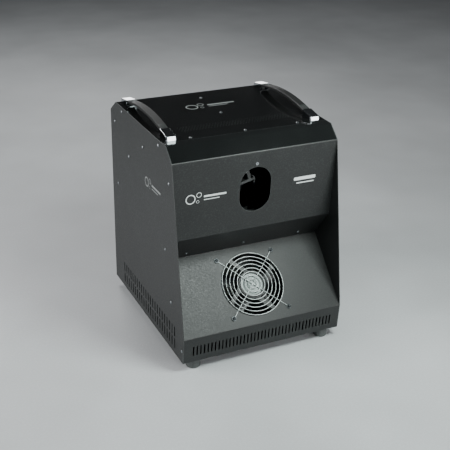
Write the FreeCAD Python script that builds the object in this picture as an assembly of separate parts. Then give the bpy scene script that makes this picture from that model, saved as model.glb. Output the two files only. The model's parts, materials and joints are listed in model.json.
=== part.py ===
import FreeCAD, Part
import math
import os

# Combined bubble and fog machine: a folded sheet-steel cabinet on rubber feet, with two strap
# handles on the roof, an axial fan behind a wire guard, a bubble wheel behind a stadium-shaped
# outlet, a fog heater, two fluid tanks behind a rear service door, and rear controls.
#
# Everything is drawn in cabinet coordinates: X to the right seen from the front, Y the depth
# behind the front lip, Z the height above the underside of the base tray. export() moves it to
# the library frame: origin on the floor under the middle of the whole machine, +Z up.

V = FreeCAD.Vector

# ---- driving dimensions, millimetres and degrees -------------------------------------------
CASE_WIDTH = 450.0
CASE_DEPTH = 514.0
CASE_HEIGHT = 545.0
SHEET = 1.5                 # thickness of all folded panels
BEND_RADIUS = 2.0           # inside radius of the folds

LIP_HEIGHT = 71.0           # front lip below the fan panel
LIP_SETBACK = 6.0           # the lip leans forward by this much
RECESS_DEPTH = 150.0        # back of the recess, where fan panel and soffit meet
RECESS_RISE = 220.0         # height of that corner
SOFFIT_FRONT = 86.0         # depth of the soffit's front edge
SOFFIT_TOP = 303.0          # height of the soffit's front edge
BROW_FRONT = 72.0           # depth of the fold between upper panel and brow
BROW_BACK = 108.0           # depth of the fold between brow and roof
BROW_DROP = 32.0            # height of the brow
REAR_CHAMFER_DEPTH = 44.0
REAR_CHAMFER_DROP = 32.0
ROOF_SCREW_SPREAD = 147.0   # outer seam screws from the middle
ROOF_SEAM = 134.0           # depth of the seam between front panel and roof panel
SEAM_GAP = 0.5

FRONT_FLANGE = 22.0
FAN_PANEL_FLANGE = 20.0
ROOF_FLANGE = 20.0
REAR_FLANGE = 52.0
TRAY_FLANGE = 14.0
SEAM_STRIP = 22.0           # strip under each roof seam, behind the seam

LIP_SLOT_COUNT = 40
LIP_SLOT_PITCH = 10.1
LIP_SLOT_WIDTH = 4.5
LIP_SLOT_LOW = 18.0
LIP_SLOT_HIGH = 47.0
SIDE_SLOT_COUNT = 23
SIDE_SLOT_WIDTH = 6.0
SIDE_SLOT_FIRST = 60.0      # depth of the first slot
SIDE_SLOT_REAR_MARGIN = 78.0
SIDE_SLOT_ROWS = ((16.0, 45.0), (50.0, 79.5))

PERFORATION_HALF = 152.0    # half width of the perforated band in the roof
PERFORATION_START = 191.0
PERFORATION_ROWS = 5
PERFORATION_PITCH = 8.0
PERFORATION_RADIUS = 2.4

FOOT_HEIGHT = 27.0
FOOT_RADIUS = 19.0
FOOT_TOP_RADIUS = 17.0
FOOT_INSET_X = 38.0         # foot centre to the cabinet's side
FOOT_INSET_Y = 30.0         # foot centre to the lip or the rear
FOOT_ROUNDING = 4.0

M4 = 2.0                    # screw radius
M4_HEAD = 4.0
M4_HEAD_HEIGHT = 2.4
M4_HEAD_EDGE = 0.9          # height of the pan head's straight edge under its dome
M4_HOLE = 2.15
M4_NUT_FLATS = 7.0
M4_NUT_HEIGHT = 3.2
NUT_PLAY = 0.02             # radial play drawn between screw and nut
SCREW_LENGTH = 9.0

OPENING_DROP = 133.0        # outlet centre below the roof
OPENING_WIDTH = 86.0
OPENING_HEIGHT = 121.5
OUTLET_SCREW_RISE = 70.0    # socket screw above the outlet's centre

FAN_SIZE = 180.0
FAN_DEPTH = 60.0
FAN_RIM = 5.5               # frame left between its bore and its edge
FAN_HOLE_INSET = 11.0       # mounting hole to the frame's edge
FAN_HUB = 38.0
FAN_STRUT_WIDTH = 11.0
FAN_STRUT_THICK = 2.5
FAN_BLADES = 5
FAN_BLADE_CHORD = 56.0
FAN_BLADE_CURVE = 55.0      # radius of the blades' camber
FAN_BLADE_PITCH = 36.0
FAN_BLADE_THICK = 2.2
FAN_TIP_GAP = 1.5
GUARD_WIRE = 1.15
GUARD_FIRST_RING = 12.0
GUARD_RING_PITCH = 10.3
GUARD_EYELET = 4.6

HANDLE_OFFSET = 197.0       # handle centreline from the middle of the roof
HANDLE_START = 141.0
HANDLE_LENGTH = 327.0
CAP_WIDTH = 26.0
CAP_LENGTH = 44.0
CAP_LOW = 10.0
CAP_NOSE_LEAN = 2.2         # how far the nose leans back over its height
CAP_NOSE_ROUND = 3.0
CAP_HIGH = 17.0
CAP_WALL = 1.5
CAP_BASE_LIP = 7.0
CAP_SCREWS = (26.0, 36.0)   # screws from the cap's outer end
GRIP_THICK = 7.0
GRIP_RISE = 28.0            # top of the grip above the roof
GRIP_END_RISE = 12.0        # top of the grip's ends, inside the caps
GRIP_END_INSERT = 14.0      # length of grip inside each cap
GRIP_SIDE_GAP = 0.4

SHELF_HEIGHT = 226.0
SHELF_FRONT = 178.0
SHELF_FLANGE = 14.0

WHEEL_PLANE = 127.0         # depth of the bubble wheel's mid plane
WHEEL_HUB_X = -79.5
WHEEL_HUB_DROP = 16.0       # hub below the outlet's centre
WHEEL_ARMS = 4
WHEEL_FIRST_ARM = 14.5      # angle of the arm behind the outlet
WHEEL_LOOP_AT = 63.0        # loop centre along the arm
WHEEL_LOOP_OFFSET = 13.0    # loop centre off the arm
WHEEL_LOOP_RADIUS = 31.0
WHEEL_LOOP_BAND = 7.0
WHEEL_ARM_REACH = 104.0
WHEEL_ARM_HALF = 3.0        # half the arm's height
WHEEL_THICK = 8.0
WHEEL_SHAFT = 2.5
RUNNING_GAP = 0.05          # radial clearance of shafts and pins in their bores

TROUGH_WALL = 2.0
TROUGH_FRONT = 105.0
TROUGH_SOFFIT_GAP = 1.0     # least gap between trough and soffit
TROUGH_BACK = 138.0
TROUGH_HEIGHT = 44.0
TROUGH_SIDE_GAP = 6.0       # between the wheel's reach and the trough's ends
TROUGH_FLOOR_GAP = 5.0
STAND_GAP = 2.0             # between trough and stand
STAND_FOOT = 14.0
STAND_LEDGE_RISE = 34.0     # the stand's ledge above the shelf

BLOWER_X = -10.0
BLOWER_WIDTH = 50.0
BLOWER_RADIUS = 50.0
BLOWER_Y = 228.0
BLOWER_WALL = 2.0
BLOWER_INLET = 25.0
BLOWER_MOTOR_RADIUS = 20.0
BLOWER_MOTOR_LENGTH = 34.0
IMPELLER_RADIUS = 40.0
IMPELLER_WIDTH = 34.0
IMPELLER_BLADES = 24
DUCT_FRONT = 152.0
DUCT_HEIGHT = 38.0

HEATER_X = 67.0
HEATER_WIDTH = 70.0
HEATER_LENGTH = 150.0
HEATER_HEIGHT = 66.0
HEATER_FRONT = 205.0
HEATER_STANDOFF = 16.0
FOG_PIPE_RADIUS = 5.0
FOG_PIPE_BORE = 3.5
FOG_PIPE_X = 47.0
FOG_PIPE_BEND = 18.0
FOG_PIPE_END = 136.0

TANK_WIDTH = 124.0
TANK_DEPTH = 188.0
TANK_HEIGHT = 160.0
TANK_WALL = 2.5
TANK_GAP = 16.0             # between the two tanks
TANK_CENTRE_X = -8.0
TANK_REAR_MARGIN = 56.0     # tank to the rear face of the cabinet
TANK_NECK_RADIUS = 17.0
TANK_NECK_HEIGHT = 14.0
TANK_CAP_RADIUS = 22.0
TANK_CAP_HEIGHT = 18.0
FIT_GAP = 0.3
HOSE_RADIUS = 4.0
HOSE_BORE = 2.5

DOOR_LEFT = -154.0
DOOR_RIGHT = 150.0
DOOR_LOW = 12.0
DOOR_HIGH = 213.0
DOOR_OVERLAP = 9.0          # door edge beyond the opening it covers
DOOR_GAP = 0.3
HINGE_RADIUS = 3.0
HINGE_PIN = 1.5
HINGE_LEAF = 1.2
HINGE_LEAF_WIDTH = 17.0
HINGE_KNUCKLES = 5
HINGE_OFFSET = 6.0          # pin axis beyond the door's edge
LATCH_INSET = 38.0
LATCH_KNOB_RADIUS = 10.0
LATCH_STANDOUT = 12.0       # knob face behind the rear panel
LATCH_SHAFT = 3.0
CAM_LENGTH = 27.0
CAM_WIDTH = 12.0
CAM_THICK = 2.2

DISPLAY_X = 95.0
DISPLAY_DROP = 105.0
DISPLAY_WIDTH = 64.0
DISPLAY_HEIGHT = 26.0
BUTTON_COUNT = 4
BUTTON_PITCH = 20.0
BUTTON_DROP = 142.0
BUTTON_RADIUS = 4.0
BUTTON_PROUD = 2.2
BUTTON_TRAVEL = 1.2
SWITCH_X = -150.0
SWITCH_DROP = 150.0
SWITCH_TILT = 8.0
INLET_X = -150.0
INLET_DROP = 210.0
SOCKET_X = (-70.0, -25.0)
SOCKET_DROP = 200.0
INLET_FLANGE = 3.0
SOCKET_FLANGE = 2.0
REAR_VENT_COUNT = 18
REAR_VENT_PITCH = 10.1
REAR_VENT_X = -105.0
REAR_VENT_DROP = 62.0
REAR_VENT_LENGTH = 40.0

# Screw places on each side panel: depth, height. Those near the roof hang from it.
SIDE_SCREWS_LOW = ((11.0, 35.0), (82.5, 138.0), (118.0, 271.0))
SIDE_SCREWS_HIGH = ((91.0, 87.0), (158.0, 13.0), (267.0, 56.0), (373.0, 120.0))
SIDE_SCREWS_REAR = ((92.0, 12.0), (34.0, 56.0), (46.0, 233.0))

# ---- derived dimensions --------------------------------------------------------------------
HALF_WIDTH = CASE_WIDTH / 2
INNER_HALF = HALF_WIDTH - SHEET
FLANGE_HALF = INNER_HALF - SHEET
OVERALL_DEPTH = CASE_DEPTH + LATCH_STANDOUT
REAR_INNER = CASE_DEPTH - SHEET
OPENING_HEIGHT_MID = CASE_HEIGHT - OPENING_DROP
WHEEL_HUB = V(WHEEL_HUB_X, WHEEL_PLANE, OPENING_HEIGHT_MID - WHEEL_HUB_DROP)
SHELF_TOP = SHELF_HEIGHT + SHEET
STAND_FACE = TROUGH_BACK + STAND_GAP
TROUGH_FLOOR = WHEEL_HUB.z - WHEEL_ARM_REACH - TROUGH_FLOOR_GAP - TROUGH_WALL
SOFFIT_SLOPE = (RECESS_DEPTH - SOFFIT_FRONT) / (SOFFIT_TOP - RECESS_RISE)
SOFFIT_INNER = SOFFIT_FRONT + SHEET * math.hypot(1, SOFFIT_SLOPE) + (SOFFIT_TOP - TROUGH_FLOOR) * SOFFIT_SLOPE
TROUGH_FACE = max(TROUGH_FRONT, SOFFIT_INNER + TROUGH_SOFFIT_GAP)
TROUGH_LEFT = WHEEL_HUB.x - WHEEL_ARM_REACH - TROUGH_SIDE_GAP
TROUGH_RIGHT = WHEEL_HUB.x + WHEEL_ARM_REACH + TROUGH_SIDE_GAP
BLOWER_Z = OPENING_HEIGHT_MID + 33.0 - BLOWER_RADIUS
BLOWER_LEFT = BLOWER_X - BLOWER_WIDTH / 2
BLOWER_RIGHT = BLOWER_X + BLOWER_WIDTH / 2
HEATER_LOW = SHELF_TOP + HEATER_STANDOFF
TANK_BACK = CASE_DEPTH - TANK_REAR_MARGIN
TANK_FRONT = TANK_BACK - TANK_DEPTH
TANK_FLOOR = SHEET + 0.5
TANK_TOP = TANK_FLOOR + TANK_HEIGHT
TANK_LEFTS = {"bubble": TANK_CENTRE_X - TANK_GAP / 2 - TANK_WIDTH, "fog": TANK_CENTRE_X + TANK_GAP / 2}
DOOR_INNER = CASE_DEPTH + DOOR_GAP
DOOR_OUTER = DOOR_INNER + SHEET
HINGE_AXIS = V(DOOR_LEFT - HINGE_OFFSET, CASE_DEPTH + HINGE_RADIUS + 0.6, 0)
LATCH = V(DOOR_RIGHT - LATCH_INSET, 0, (DOOR_LOW + DOOR_HIGH) / 2)
FAN_BORE = FAN_SIZE / 2 - FAN_RIM
FAN_HOLE_HALF = FAN_SIZE / 2 - FAN_HOLE_INSET
GUARD_RINGS = int((FAN_BORE - GUARD_FIRST_RING) / GUARD_RING_PITCH) + 1
SLANT_ANGLE = math.atan2(RECESS_RISE - LIP_HEIGHT, RECESS_DEPTH)
SLANT_MIDDLE = V(0, RECESS_DEPTH / 2, (LIP_HEIGHT + RECESS_RISE) / 2)


# ---- helpers -------------------------------------------------------------------------------
def box(x0, x1, y0, y1, z0, z1):
    return Part.makeBox(x1 - x0, y1 - y0, z1 - z0, V(x0, y0, z0))


def rod(radius, start, end):
    return Part.makeCylinder(radius, (end - start).Length, start, end - start)


def tube(radius, bore, start, end):
    return rod(radius, start, end).cut(rod(bore, start, end))


def fuse(shapes):
    whole = shapes[0].fuse(shapes[1:]) if len(shapes) > 1 else shapes[0]
    return whole.removeSplitter()


def group(shapes):
    return Part.makeCompound(shapes)


def cut(shape, cutters):
    return shape.cut(Part.makeCompound(cutters))


def prism(points, x0, x1):
    """Polygon of (depth, height) points drawn out from x0 to x1."""
    corners = [V(x0, y, z) for y, z in points]
    return Part.Face(Part.makePolygon(corners + corners[:1])).extrude(V(x1 - x0, 0, 0))


def unit(a, b):
    length = math.hypot(b[0] - a[0], b[1] - a[1])
    return ((b[0] - a[0]) / length, (b[1] - a[1]) / length)


def mitre_offset(points, distance):
    """Open line moved sideways, left of its direction when distance is positive."""
    moved = []
    for i, point in enumerate(points):
        before = unit(points[i - 1], point) if i > 0 else unit(point, points[i + 1])
        after = unit(point, points[i + 1]) if i < len(points) - 1 else before
        normal = (-before[1] - after[1], before[0] + after[0])
        scale = 2.0 * distance / (normal[0] ** 2 + normal[1] ** 2)
        moved.append((point[0] + normal[0] * scale, point[1] + normal[1] * scale))
    return moved


def sheet_side(centre, offset, radius, x):
    """Edges of one face of a folded sheet: straight runs joined by tangent arcs."""
    edges = []
    first = unit(centre[0], centre[1])
    start = V(x, centre[0][0] - first[1] * offset, centre[0][1] + first[0] * offset)
    for i in range(1, len(centre) - 1):
        into = unit(centre[i - 1], centre[i])
        out = unit(centre[i], centre[i + 1])
        turn = math.atan2(into[0] * out[1] - into[1] * out[0], into[0] * out[0] + into[1] * out[1])
        side = math.copysign(1.0, turn)
        trim = radius * math.tan(abs(turn) / 2)
        pivot = (centre[i][0] - into[0] * trim - into[1] * side * radius,
                 centre[i][1] - into[1] * trim + into[0] * side * radius)
        reach = radius - side * offset
        arms = [(into[1] * side, -into[0] * side), unit(pivot, centre[i]), (out[1] * side, -out[0] * side)]
        arc = [V(x, pivot[0] + arm[0] * reach, pivot[1] + arm[1] * reach) for arm in arms]
        edges.append(Part.LineSegment(start, arc[0]).toShape())
        edges.append(Part.Arc(*arc).toShape())
        start = arc[2]
    last = unit(centre[-2], centre[-1])
    end = V(x, centre[-1][0] - last[1] * offset, centre[-1][1] + last[0] * offset)
    edges.append(Part.LineSegment(start, end).toShape())
    return edges


def folded_sheet(points, inward, x0, x1):
    """Sheet whose outer face follows points; inward is +1 or -1 for metal left or right of them."""
    centre = mitre_offset(points, inward * SHEET / 2)
    radius = BEND_RADIUS + SHEET / 2
    left = sheet_side(centre, SHEET / 2, radius, x0)
    right = sheet_side(centre, -SHEET / 2, radius, x0)
    caps = [Part.LineSegment(left[i].Vertexes[i].Point, right[i].Vertexes[i].Point).toShape() for i in (0, -1)]
    wire = Part.Wire(Part.__sortEdges__(left + right + caps))
    return Part.Face(wire).extrude(V(x1 - x0, 0, 0))


def side_flanges(points, inward, depth):
    """The two flanges that a folded panel turns back along the side panels."""
    near = mitre_offset(points, inward * SHEET / 2)
    far = mitre_offset(points, inward * depth)
    outline = near + far[::-1]
    return [prism(outline, -INNER_HALF, -FLANGE_HALF), prism(outline, FLANGE_HALF, INNER_HALF)]


def obround(centre, across, along, through, width, length):
    """Cutter with round ends: width across, length along, drawn both ways along through."""
    r = width / 2
    straight = length / 2 - r
    base = centre - through
    signs = ((-1, -1), (-1, 1), (1, 1), (1, -1))
    corners = [base + across * (sx * r) + along * (sz * straight) for sx, sz in signs]
    top = Part.Arc(corners[1], base + along * (length / 2), corners[2]).toShape()
    bottom = Part.Arc(corners[3], base - along * (length / 2), corners[0]).toShape()
    sides = [Part.LineSegment(corners[i], corners[i + 1]).toShape() for i in (0, 2)]
    wire = Part.Wire(Part.__sortEdges__([top, bottom] + sides))
    return Part.Face(wire).extrude(through * 2)


def rounded_box(x0, x1, y0, y1, z0, z1, radius, axis):
    """Box whose four edges along axis ('x', 'y' or 'z') are rounded."""
    shape = box(x0, x1, y0, y1, z0, z1)
    direction = {"x": V(1, 0, 0), "y": V(0, 1, 0), "z": V(0, 0, 1)}[axis]
    edges = [e for e in shape.Edges if abs(e.tangentAt(e.FirstParameter).dot(direction)) > 0.99]
    return shape.makeFillet(radius, edges)


def pan_screw(place, outward, length=SCREW_LENGTH):
    """Pan-head M4 screw: place is on the clamped face, the head stands outward of it."""
    sag = M4_HEAD_HEIGHT - M4_HEAD_EDGE
    crown_radius = (M4_HEAD ** 2 + sag ** 2) / (2 * sag)
    dome = Part.makeSphere(crown_radius, place + outward * (M4_HEAD_HEIGHT - crown_radius))
    head = Part.makeCylinder(M4_HEAD, M4_HEAD_HEIGHT, place, outward).common(dome)
    crown = place + outward * (M4_HEAD_HEIGHT - 1.0)
    across = outward.cross(V(0, 0, 1) if abs(outward.z) < 0.9 else V(0, 1, 0)).normalize()
    for arm in (across, outward.cross(across).normalize()):
        beam = rod(0.55, crown + outward * 0.6 - arm * 2.0, crown + outward * 0.6 + arm * 2.0)
        head = head.cut(beam)
    return head.fuse(rod(M4, place + outward * 0.5, place - outward * length)).removeSplitter()


def hex_nut(place, outward):
    """M4 nut standing outward from place."""
    corner = M4_NUT_FLATS / math.sqrt(3)
    across = V(0, 0, 1) if abs(outward.z) < 0.9 else V(0, 1, 0)
    other = outward.cross(across).normalize()
    turns = [math.radians(60 * i) for i in range(7)]
    ring = [place + across * (corner * math.cos(t)) + other * (corner * math.sin(t)) for t in turns]
    block = Part.Face(Part.makePolygon(ring)).extrude(outward * M4_NUT_HEIGHT)
    return block.cut(rod(M4 + NUT_PLAY, place - outward, place + outward * (M4_NUT_HEIGHT + 1)))


def routed_tube(points, radius, bore, bend):
    """Tube or solid rod along straight runs joined by arcs; bore 0 makes it solid."""
    edges = []
    start = points[0]
    for before, corner, after in zip(points, points[1:], points[2:]):
        into = (corner - before).normalize()
        out = (after - corner).normalize()
        half_turn = math.acos(max(-1.0, min(1.0, into.dot(out)))) / 2
        trim = bend * math.tan(half_turn)
        middle = (out - into).normalize() * (bend / math.cos(half_turn) - bend)
        edges.append(Part.LineSegment(start, corner - into * trim).toShape())
        edges.append(Part.Arc(corner - into * trim, corner + middle, corner + out * trim).toShape())
        start = corner + out * trim
    edges.append(Part.LineSegment(start, points[-1]).toShape())
    path = Part.Wire(edges)
    direction = (points[1] - points[0]).normalize()
    sections = [Part.Wire(Part.makeCircle(r, points[0], direction)) for r in (radius, bore) if r > 0]
    solids = [path.makePipeShell([section], True, False) for section in sections]
    return solids[0].cut(solids[1]) if bore > 0 else solids[0]


def on_slant(shape):
    """Place a shape drawn flat, face up, on the fan panel's outer face."""
    turned = shape.copy()
    turned.rotate(V(0, 0, 0), V(1, 0, 0), math.degrees(SLANT_ANGLE))
    turned.translate(SLANT_MIDDLE)
    return turned


def slant_corners():
    """The four fan mounting holes, in the flat frame of the fan panel."""
    return [V(sx * FAN_HOLE_HALF, sy * FAN_HOLE_HALF, 0) for sx in (-1, 1) for sy in (-1, 1)]


def side_screw_places():
    """Depth and height of every side-panel screw."""
    high = [(y, CASE_HEIGHT - drop) for y, drop in SIDE_SCREWS_HIGH]
    rear = [(CASE_DEPTH - inset, CASE_HEIGHT - drop) for inset, drop in SIDE_SCREWS_REAR]
    return list(SIDE_SCREWS_LOW) + high + rear


def side_screw_holes():
    reach = HALF_WIDTH + 5
    return [rod(M4_HOLE, V(-reach, y, z), V(reach, y, z)) for y, z in side_screw_places()]


def foot_places():
    x = HALF_WIDTH - FOOT_INSET_X
    back = CASE_DEPTH - FOOT_INSET_Y
    return {"front_left": V(-x, FOOT_INSET_Y, 0), "front_right": V(x, FOOT_INSET_Y, 0),
            "rear_left": V(-x, back, 0), "rear_right": V(x, back, 0)}


def rear_point(x, drop, y=0.0):
    """Point on the rear panel, measured down from the roof."""
    return V(x, CASE_DEPTH + y, CASE_HEIGHT - drop)


# ---- cabinet -------------------------------------------------------------------------------
def slant_line():
    return [(LIP_SETBACK, 0.0), (0.0, LIP_HEIGHT), (RECESS_DEPTH, RECESS_RISE)]


def front_line():
    """Outer line of soffit, upper panel and brow, from the recess corner to the roof seam."""
    return [(RECESS_DEPTH, RECESS_RISE), (SOFFIT_FRONT, SOFFIT_TOP), (BROW_FRONT, CASE_HEIGHT - BROW_DROP),
            (BROW_BACK, CASE_HEIGHT), (ROOF_SEAM, CASE_HEIGHT)]


def upper_panel_depth(height):
    """Depth of the upper panel's outer face at a height."""
    share = (height - SOFFIT_TOP) / (CASE_HEIGHT - BROW_DROP - SOFFIT_TOP)
    return SOFFIT_FRONT + (BROW_FRONT - SOFFIT_FRONT) * share


def soffit_screws():
    """Three screws that hold the soffit to the fan panel's upturned flange, and their direction."""
    along = unit((RECESS_DEPTH, RECESS_RISE), (SOFFIT_FRONT, SOFFIT_TOP))
    outward = V(0, -along[1], along[0])
    y = RECESS_DEPTH + along[0] * 23.0
    z = RECESS_RISE + along[1] * 23.0
    return [V(x, y, z) for x in (-HALF_WIDTH + 63, 0.0, HALF_WIDTH - 63)], outward


def roof_screws():
    """Screws through the strip under the front seam; the rear edge only rests on its strip."""
    return [V(x, ROOF_SEAM + 9, CASE_HEIGHT) for x in (-ROOF_SCREW_SPREAD, 0.0, ROOF_SCREW_SPREAD)]


def roof_centre_screws():
    """Two more screws on the roof's centreline, each with its own nut."""
    return [V(0, 287, CASE_HEIGHT), V(0, CASE_DEPTH - 96, CASE_HEIGHT)]


def handle_screw_places():
    """Four blind screws under each handle, two in each cap."""
    places = []
    for side in (-1, 1):
        for inset in CAP_SCREWS:
            for y in (HANDLE_START + inset, HANDLE_START + HANDLE_LENGTH - inset):
                places.append(V(side * HANDLE_OFFSET, y, CASE_HEIGHT))
    return places


def roof_holes():
    reach = V(0, 0, 20)
    places = roof_screws() + roof_centre_screws() + handle_screw_places()
    return [rod(M4_HOLE, p - reach, p + reach) for p in places]


def base_tray():
    front = LIP_SETBACK + SHEET + 0.1
    floor = box(-INNER_HALF, INNER_HALF, front, REAR_INNER, 0, SHEET)
    walls = [box(-FLANGE_HALF, FLANGE_HALF, front, front + SHEET, 0, TRAY_FLANGE),
             box(-FLANGE_HALF, FLANGE_HALF, REAR_INNER - SHEET, REAR_INNER, 0, TRAY_FLANGE)]
    for side in (-1, 1):
        x = sorted((side * FLANGE_HALF, side * (FLANGE_HALF - SHEET)))
        walls.append(box(x[0], x[1], front, REAR_INNER, 0, TRAY_FLANGE))
    holes = [rod(M4_HOLE, p - V(0, 0, 5), p + V(0, 0, 5)) for p in foot_places().values()]
    return cut(fuse([floor] + walls), holes + side_screw_holes())


def fan_panel():
    """Lip and slanted panel in one sheet, with a flange turned up behind the soffit."""
    lip_base, lip_top, corner = slant_line()
    along = unit(corner, (SOFFIT_FRONT, SOFFIT_TOP))
    seat = (corner[0] + along[1] * SHEET, corner[1] - along[0] * SHEET)
    slope = unit(lip_top, corner)
    step = ((seat[0] - corner[0]) * along[1] - (seat[1] - corner[1]) * along[0])
    run = step / (slope[0] * along[1] - slope[1] * along[0])
    fold = (corner[0] + slope[0] * run, corner[1] + slope[1] * run)
    flange_end = (fold[0] + along[0] * 34, fold[1] + along[1] * 34)
    sheet = folded_sheet([lip_base, lip_top, fold, flange_end], -1, -INNER_HALF, INNER_HALF)
    lower = [(lip_base[0] - 0.13, SHEET), lip_top, corner]
    shape = fuse([sheet] + side_flanges(lower, -1, FAN_PANEL_FLANGE))
    clear = FLANGE_HALF - 1.0
    above = (corner[0] - 60, corner[0] + 60, corner[1] + 2.5, corner[1] + 60)
    ends = [box(-HALF_WIDTH, -clear, *above), box(clear, HALF_WIDTH, *above)]
    bore = on_slant(rod(FAN_BORE, V(0, 0, -9), V(0, 0, 9)))
    holes = [on_slant(rod(M4_HOLE, p - V(0, 0, 9), p + V(0, 0, 9))) for p in slant_corners()]
    places, outward = soffit_screws()
    holes += [rod(M4_HOLE, p - outward * 8, p + outward * 8) for p in places]
    return cut(shape, ends + [bore] + holes + lip_slots() + side_screw_holes())


def lip_slots():
    middle = (LIP_SLOT_LOW + LIP_SLOT_HIGH) / 2
    length = LIP_SLOT_HIGH - LIP_SLOT_LOW
    first = -LIP_SLOT_PITCH * (LIP_SLOT_COUNT - 1) / 2
    cutters = []
    for i in range(LIP_SLOT_COUNT):
        centre = V(first + i * LIP_SLOT_PITCH, 3, middle)
        cutters.append(obround(centre, V(1, 0, 0), V(0, 0, 1), V(0, 8, 0), LIP_SLOT_WIDTH, length))
    return cutters


def front_panel():
    """Soffit, upper panel with the outlet, brow, and the strip under the roof seam."""
    line = front_line()
    along = unit(line[0], line[1])
    line[0] = (line[0][0] + along[0] * 3, line[0][1] + along[1] * 3)
    line[-1] = (ROOF_SEAM - SEAM_GAP / 2, CASE_HEIGHT)
    sheet = folded_sheet(line, -1, -INNER_HALF, INNER_HALF)
    under = CASE_HEIGHT - SHEET
    strip = box(-FLANGE_HALF + 2, FLANGE_HALF - 2, ROOF_SEAM - 12, ROOF_SEAM + SEAM_STRIP, under - SHEET, under)
    shape = fuse([sheet, strip] + side_flanges(line, -1, FRONT_FLANGE))
    middle = V(0, upper_panel_depth(OPENING_HEIGHT_MID), OPENING_HEIGHT_MID)
    outlet = obround(middle, V(1, 0, 0), V(0, 0, 1), V(0, 15, 0), OPENING_WIDTH, OPENING_HEIGHT)
    screw = V(0, middle.y, OPENING_HEIGHT_MID + OUTLET_SCREW_RISE)
    places, outward = soffit_screws()
    holes = [rod(M4_HOLE, p - outward * 8, p + outward * 8) for p in places]
    holes.append(rod(M4_HOLE, screw - V(0, 15, 0), screw + V(0, 15, 0)))
    return cut(shape, [outlet] + holes + roof_holes() + side_screw_holes())


def roof_panel():
    front = ROOF_SEAM + SEAM_GAP / 2
    back = CASE_DEPTH - REAR_CHAMFER_DEPTH - SEAM_GAP / 2
    plate = box(-INNER_HALF, INNER_HALF, front, back, CASE_HEIGHT - SHEET, CASE_HEIGHT)
    walls = []
    for x0, x1 in ((-INNER_HALF, -FLANGE_HALF), (FLANGE_HALF, INNER_HALF)):
        walls.append(box(x0, x1, front, back, CASE_HEIGHT - ROOF_FLANGE, CASE_HEIGHT))
    return cut(fuse([plate] + walls), roof_perforation() + roof_holes() + side_screw_holes())


def roof_perforation():
    """Staggered rows of round holes."""
    row_pitch = PERFORATION_PITCH * math.sin(math.radians(60))
    count = int(2 * PERFORATION_HALF // PERFORATION_PITCH)
    cutters = []
    for row in range(PERFORATION_ROWS):
        shift = PERFORATION_PITCH / 4 * (1 if row % 2 else -1)
        for i in range(count):
            x = (i - (count - 1) / 2) * PERFORATION_PITCH + shift
            y = PERFORATION_START + row * row_pitch
            cutters.append(rod(PERFORATION_RADIUS, V(x, y, CASE_HEIGHT - 4), V(x, y, CASE_HEIGHT + 2)))
    return cutters


def rear_line():
    return [(CASE_DEPTH, 0.0), (CASE_DEPTH, CASE_HEIGHT - REAR_CHAMFER_DROP),
            (CASE_DEPTH - REAR_CHAMFER_DEPTH, CASE_HEIGHT)]


def rear_panel():
    """Rear wall and chamfer, with every cut-out that the rear equipment needs."""
    line = rear_line()
    back = unit(line[2], line[1])
    line[2] = (line[2][0] + back[0] * SHEET, line[2][1] + back[1] * SHEET)
    sheet = folded_sheet(line, 1, -INNER_HALF, INNER_HALF)
    lower = [(line[0][0], SHEET)] + line[1:]
    seam = CASE_DEPTH - REAR_CHAMFER_DEPTH
    under = CASE_HEIGHT - SHEET
    strip = box(-FLANGE_HALF + 2, FLANGE_HALF - 2, seam - SEAM_STRIP, seam + 2, under - SHEET, under)
    flanges = side_flanges(lower, 1, REAR_FLANGE)
    roof_zone = box(-HALF_WIDTH, HALF_WIDTH, seam - 90, seam + SEAM_GAP, under - ROOF_FLANGE, CASE_HEIGHT + 5)
    flanges = [flange.cut(roof_zone) for flange in flanges]
    shape = fuse([sheet, strip] + flanges)
    return cut(shape, rear_cutouts() + roof_holes() + side_screw_holes())


def rear_cutouts():
    y0, y1 = REAR_INNER - 3, CASE_DEPTH + 3
    margin = DOOR_OVERLAP
    cutters = [box(DOOR_LEFT + margin, DOOR_RIGHT - margin - 11, y0, y1, DOOR_LOW + margin, DOOR_HIGH - margin)]
    screen = rear_point(DISPLAY_X, DISPLAY_DROP)
    half = V(DISPLAY_WIDTH / 2, 0, DISPLAY_HEIGHT / 2)
    cutters.append(box(screen.x - half.x, screen.x + half.x, y0, y1, screen.z - half.z, screen.z + half.z))
    through = V(0, 6, 0)
    for p in button_places():
        cutters.append(rod(BUTTON_RADIUS + FIT_GAP, p - through, p + through))
    switch = rear_point(SWITCH_X, SWITCH_DROP)
    cutters.append(box(switch.x - 11, switch.x + 11, y0, y1, switch.z - 14, switch.z + 14))
    inlet = rear_point(INLET_X, INLET_DROP)
    cutters.append(box(inlet.x - 14, inlet.x + 14, y0, y1, inlet.z - 10.5, inlet.z + 10.5))
    for x in SOCKET_X:
        p = rear_point(x, SOCKET_DROP)
        cutters.append(rod(11.0, p - through, p + through))
    for i in range(REAR_VENT_COUNT):
        p = rear_point(REAR_VENT_X + (i - (REAR_VENT_COUNT - 1) / 2) * REAR_VENT_PITCH, REAR_VENT_DROP)
        cutters.append(obround(p, V(1, 0, 0), V(0, 0, 1), through, LIP_SLOT_WIDTH, REAR_VENT_LENGTH))
    cutters += [rod(M4_HOLE, p - through, p + through) for p in rear_screws()]
    return cutters


def rear_screws():
    """Inlet, socket and tray screws on the rear face."""
    inlet = rear_point(INLET_X, INLET_DROP)
    places = [inlet + V(side * 20, 0, 0) for side in (-1, 1)]
    for x in SOCKET_X:
        places += [rear_point(x, SOCKET_DROP) + V(s * 12, 0, -s * 12) for s in (-1, 1)]
    edge = HALF_WIDTH - 24
    places += [V(side * edge, CASE_DEPTH, SHELF_HEIGHT - SHELF_FLANGE / 2) for side in (-1, 1)]
    return places


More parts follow.
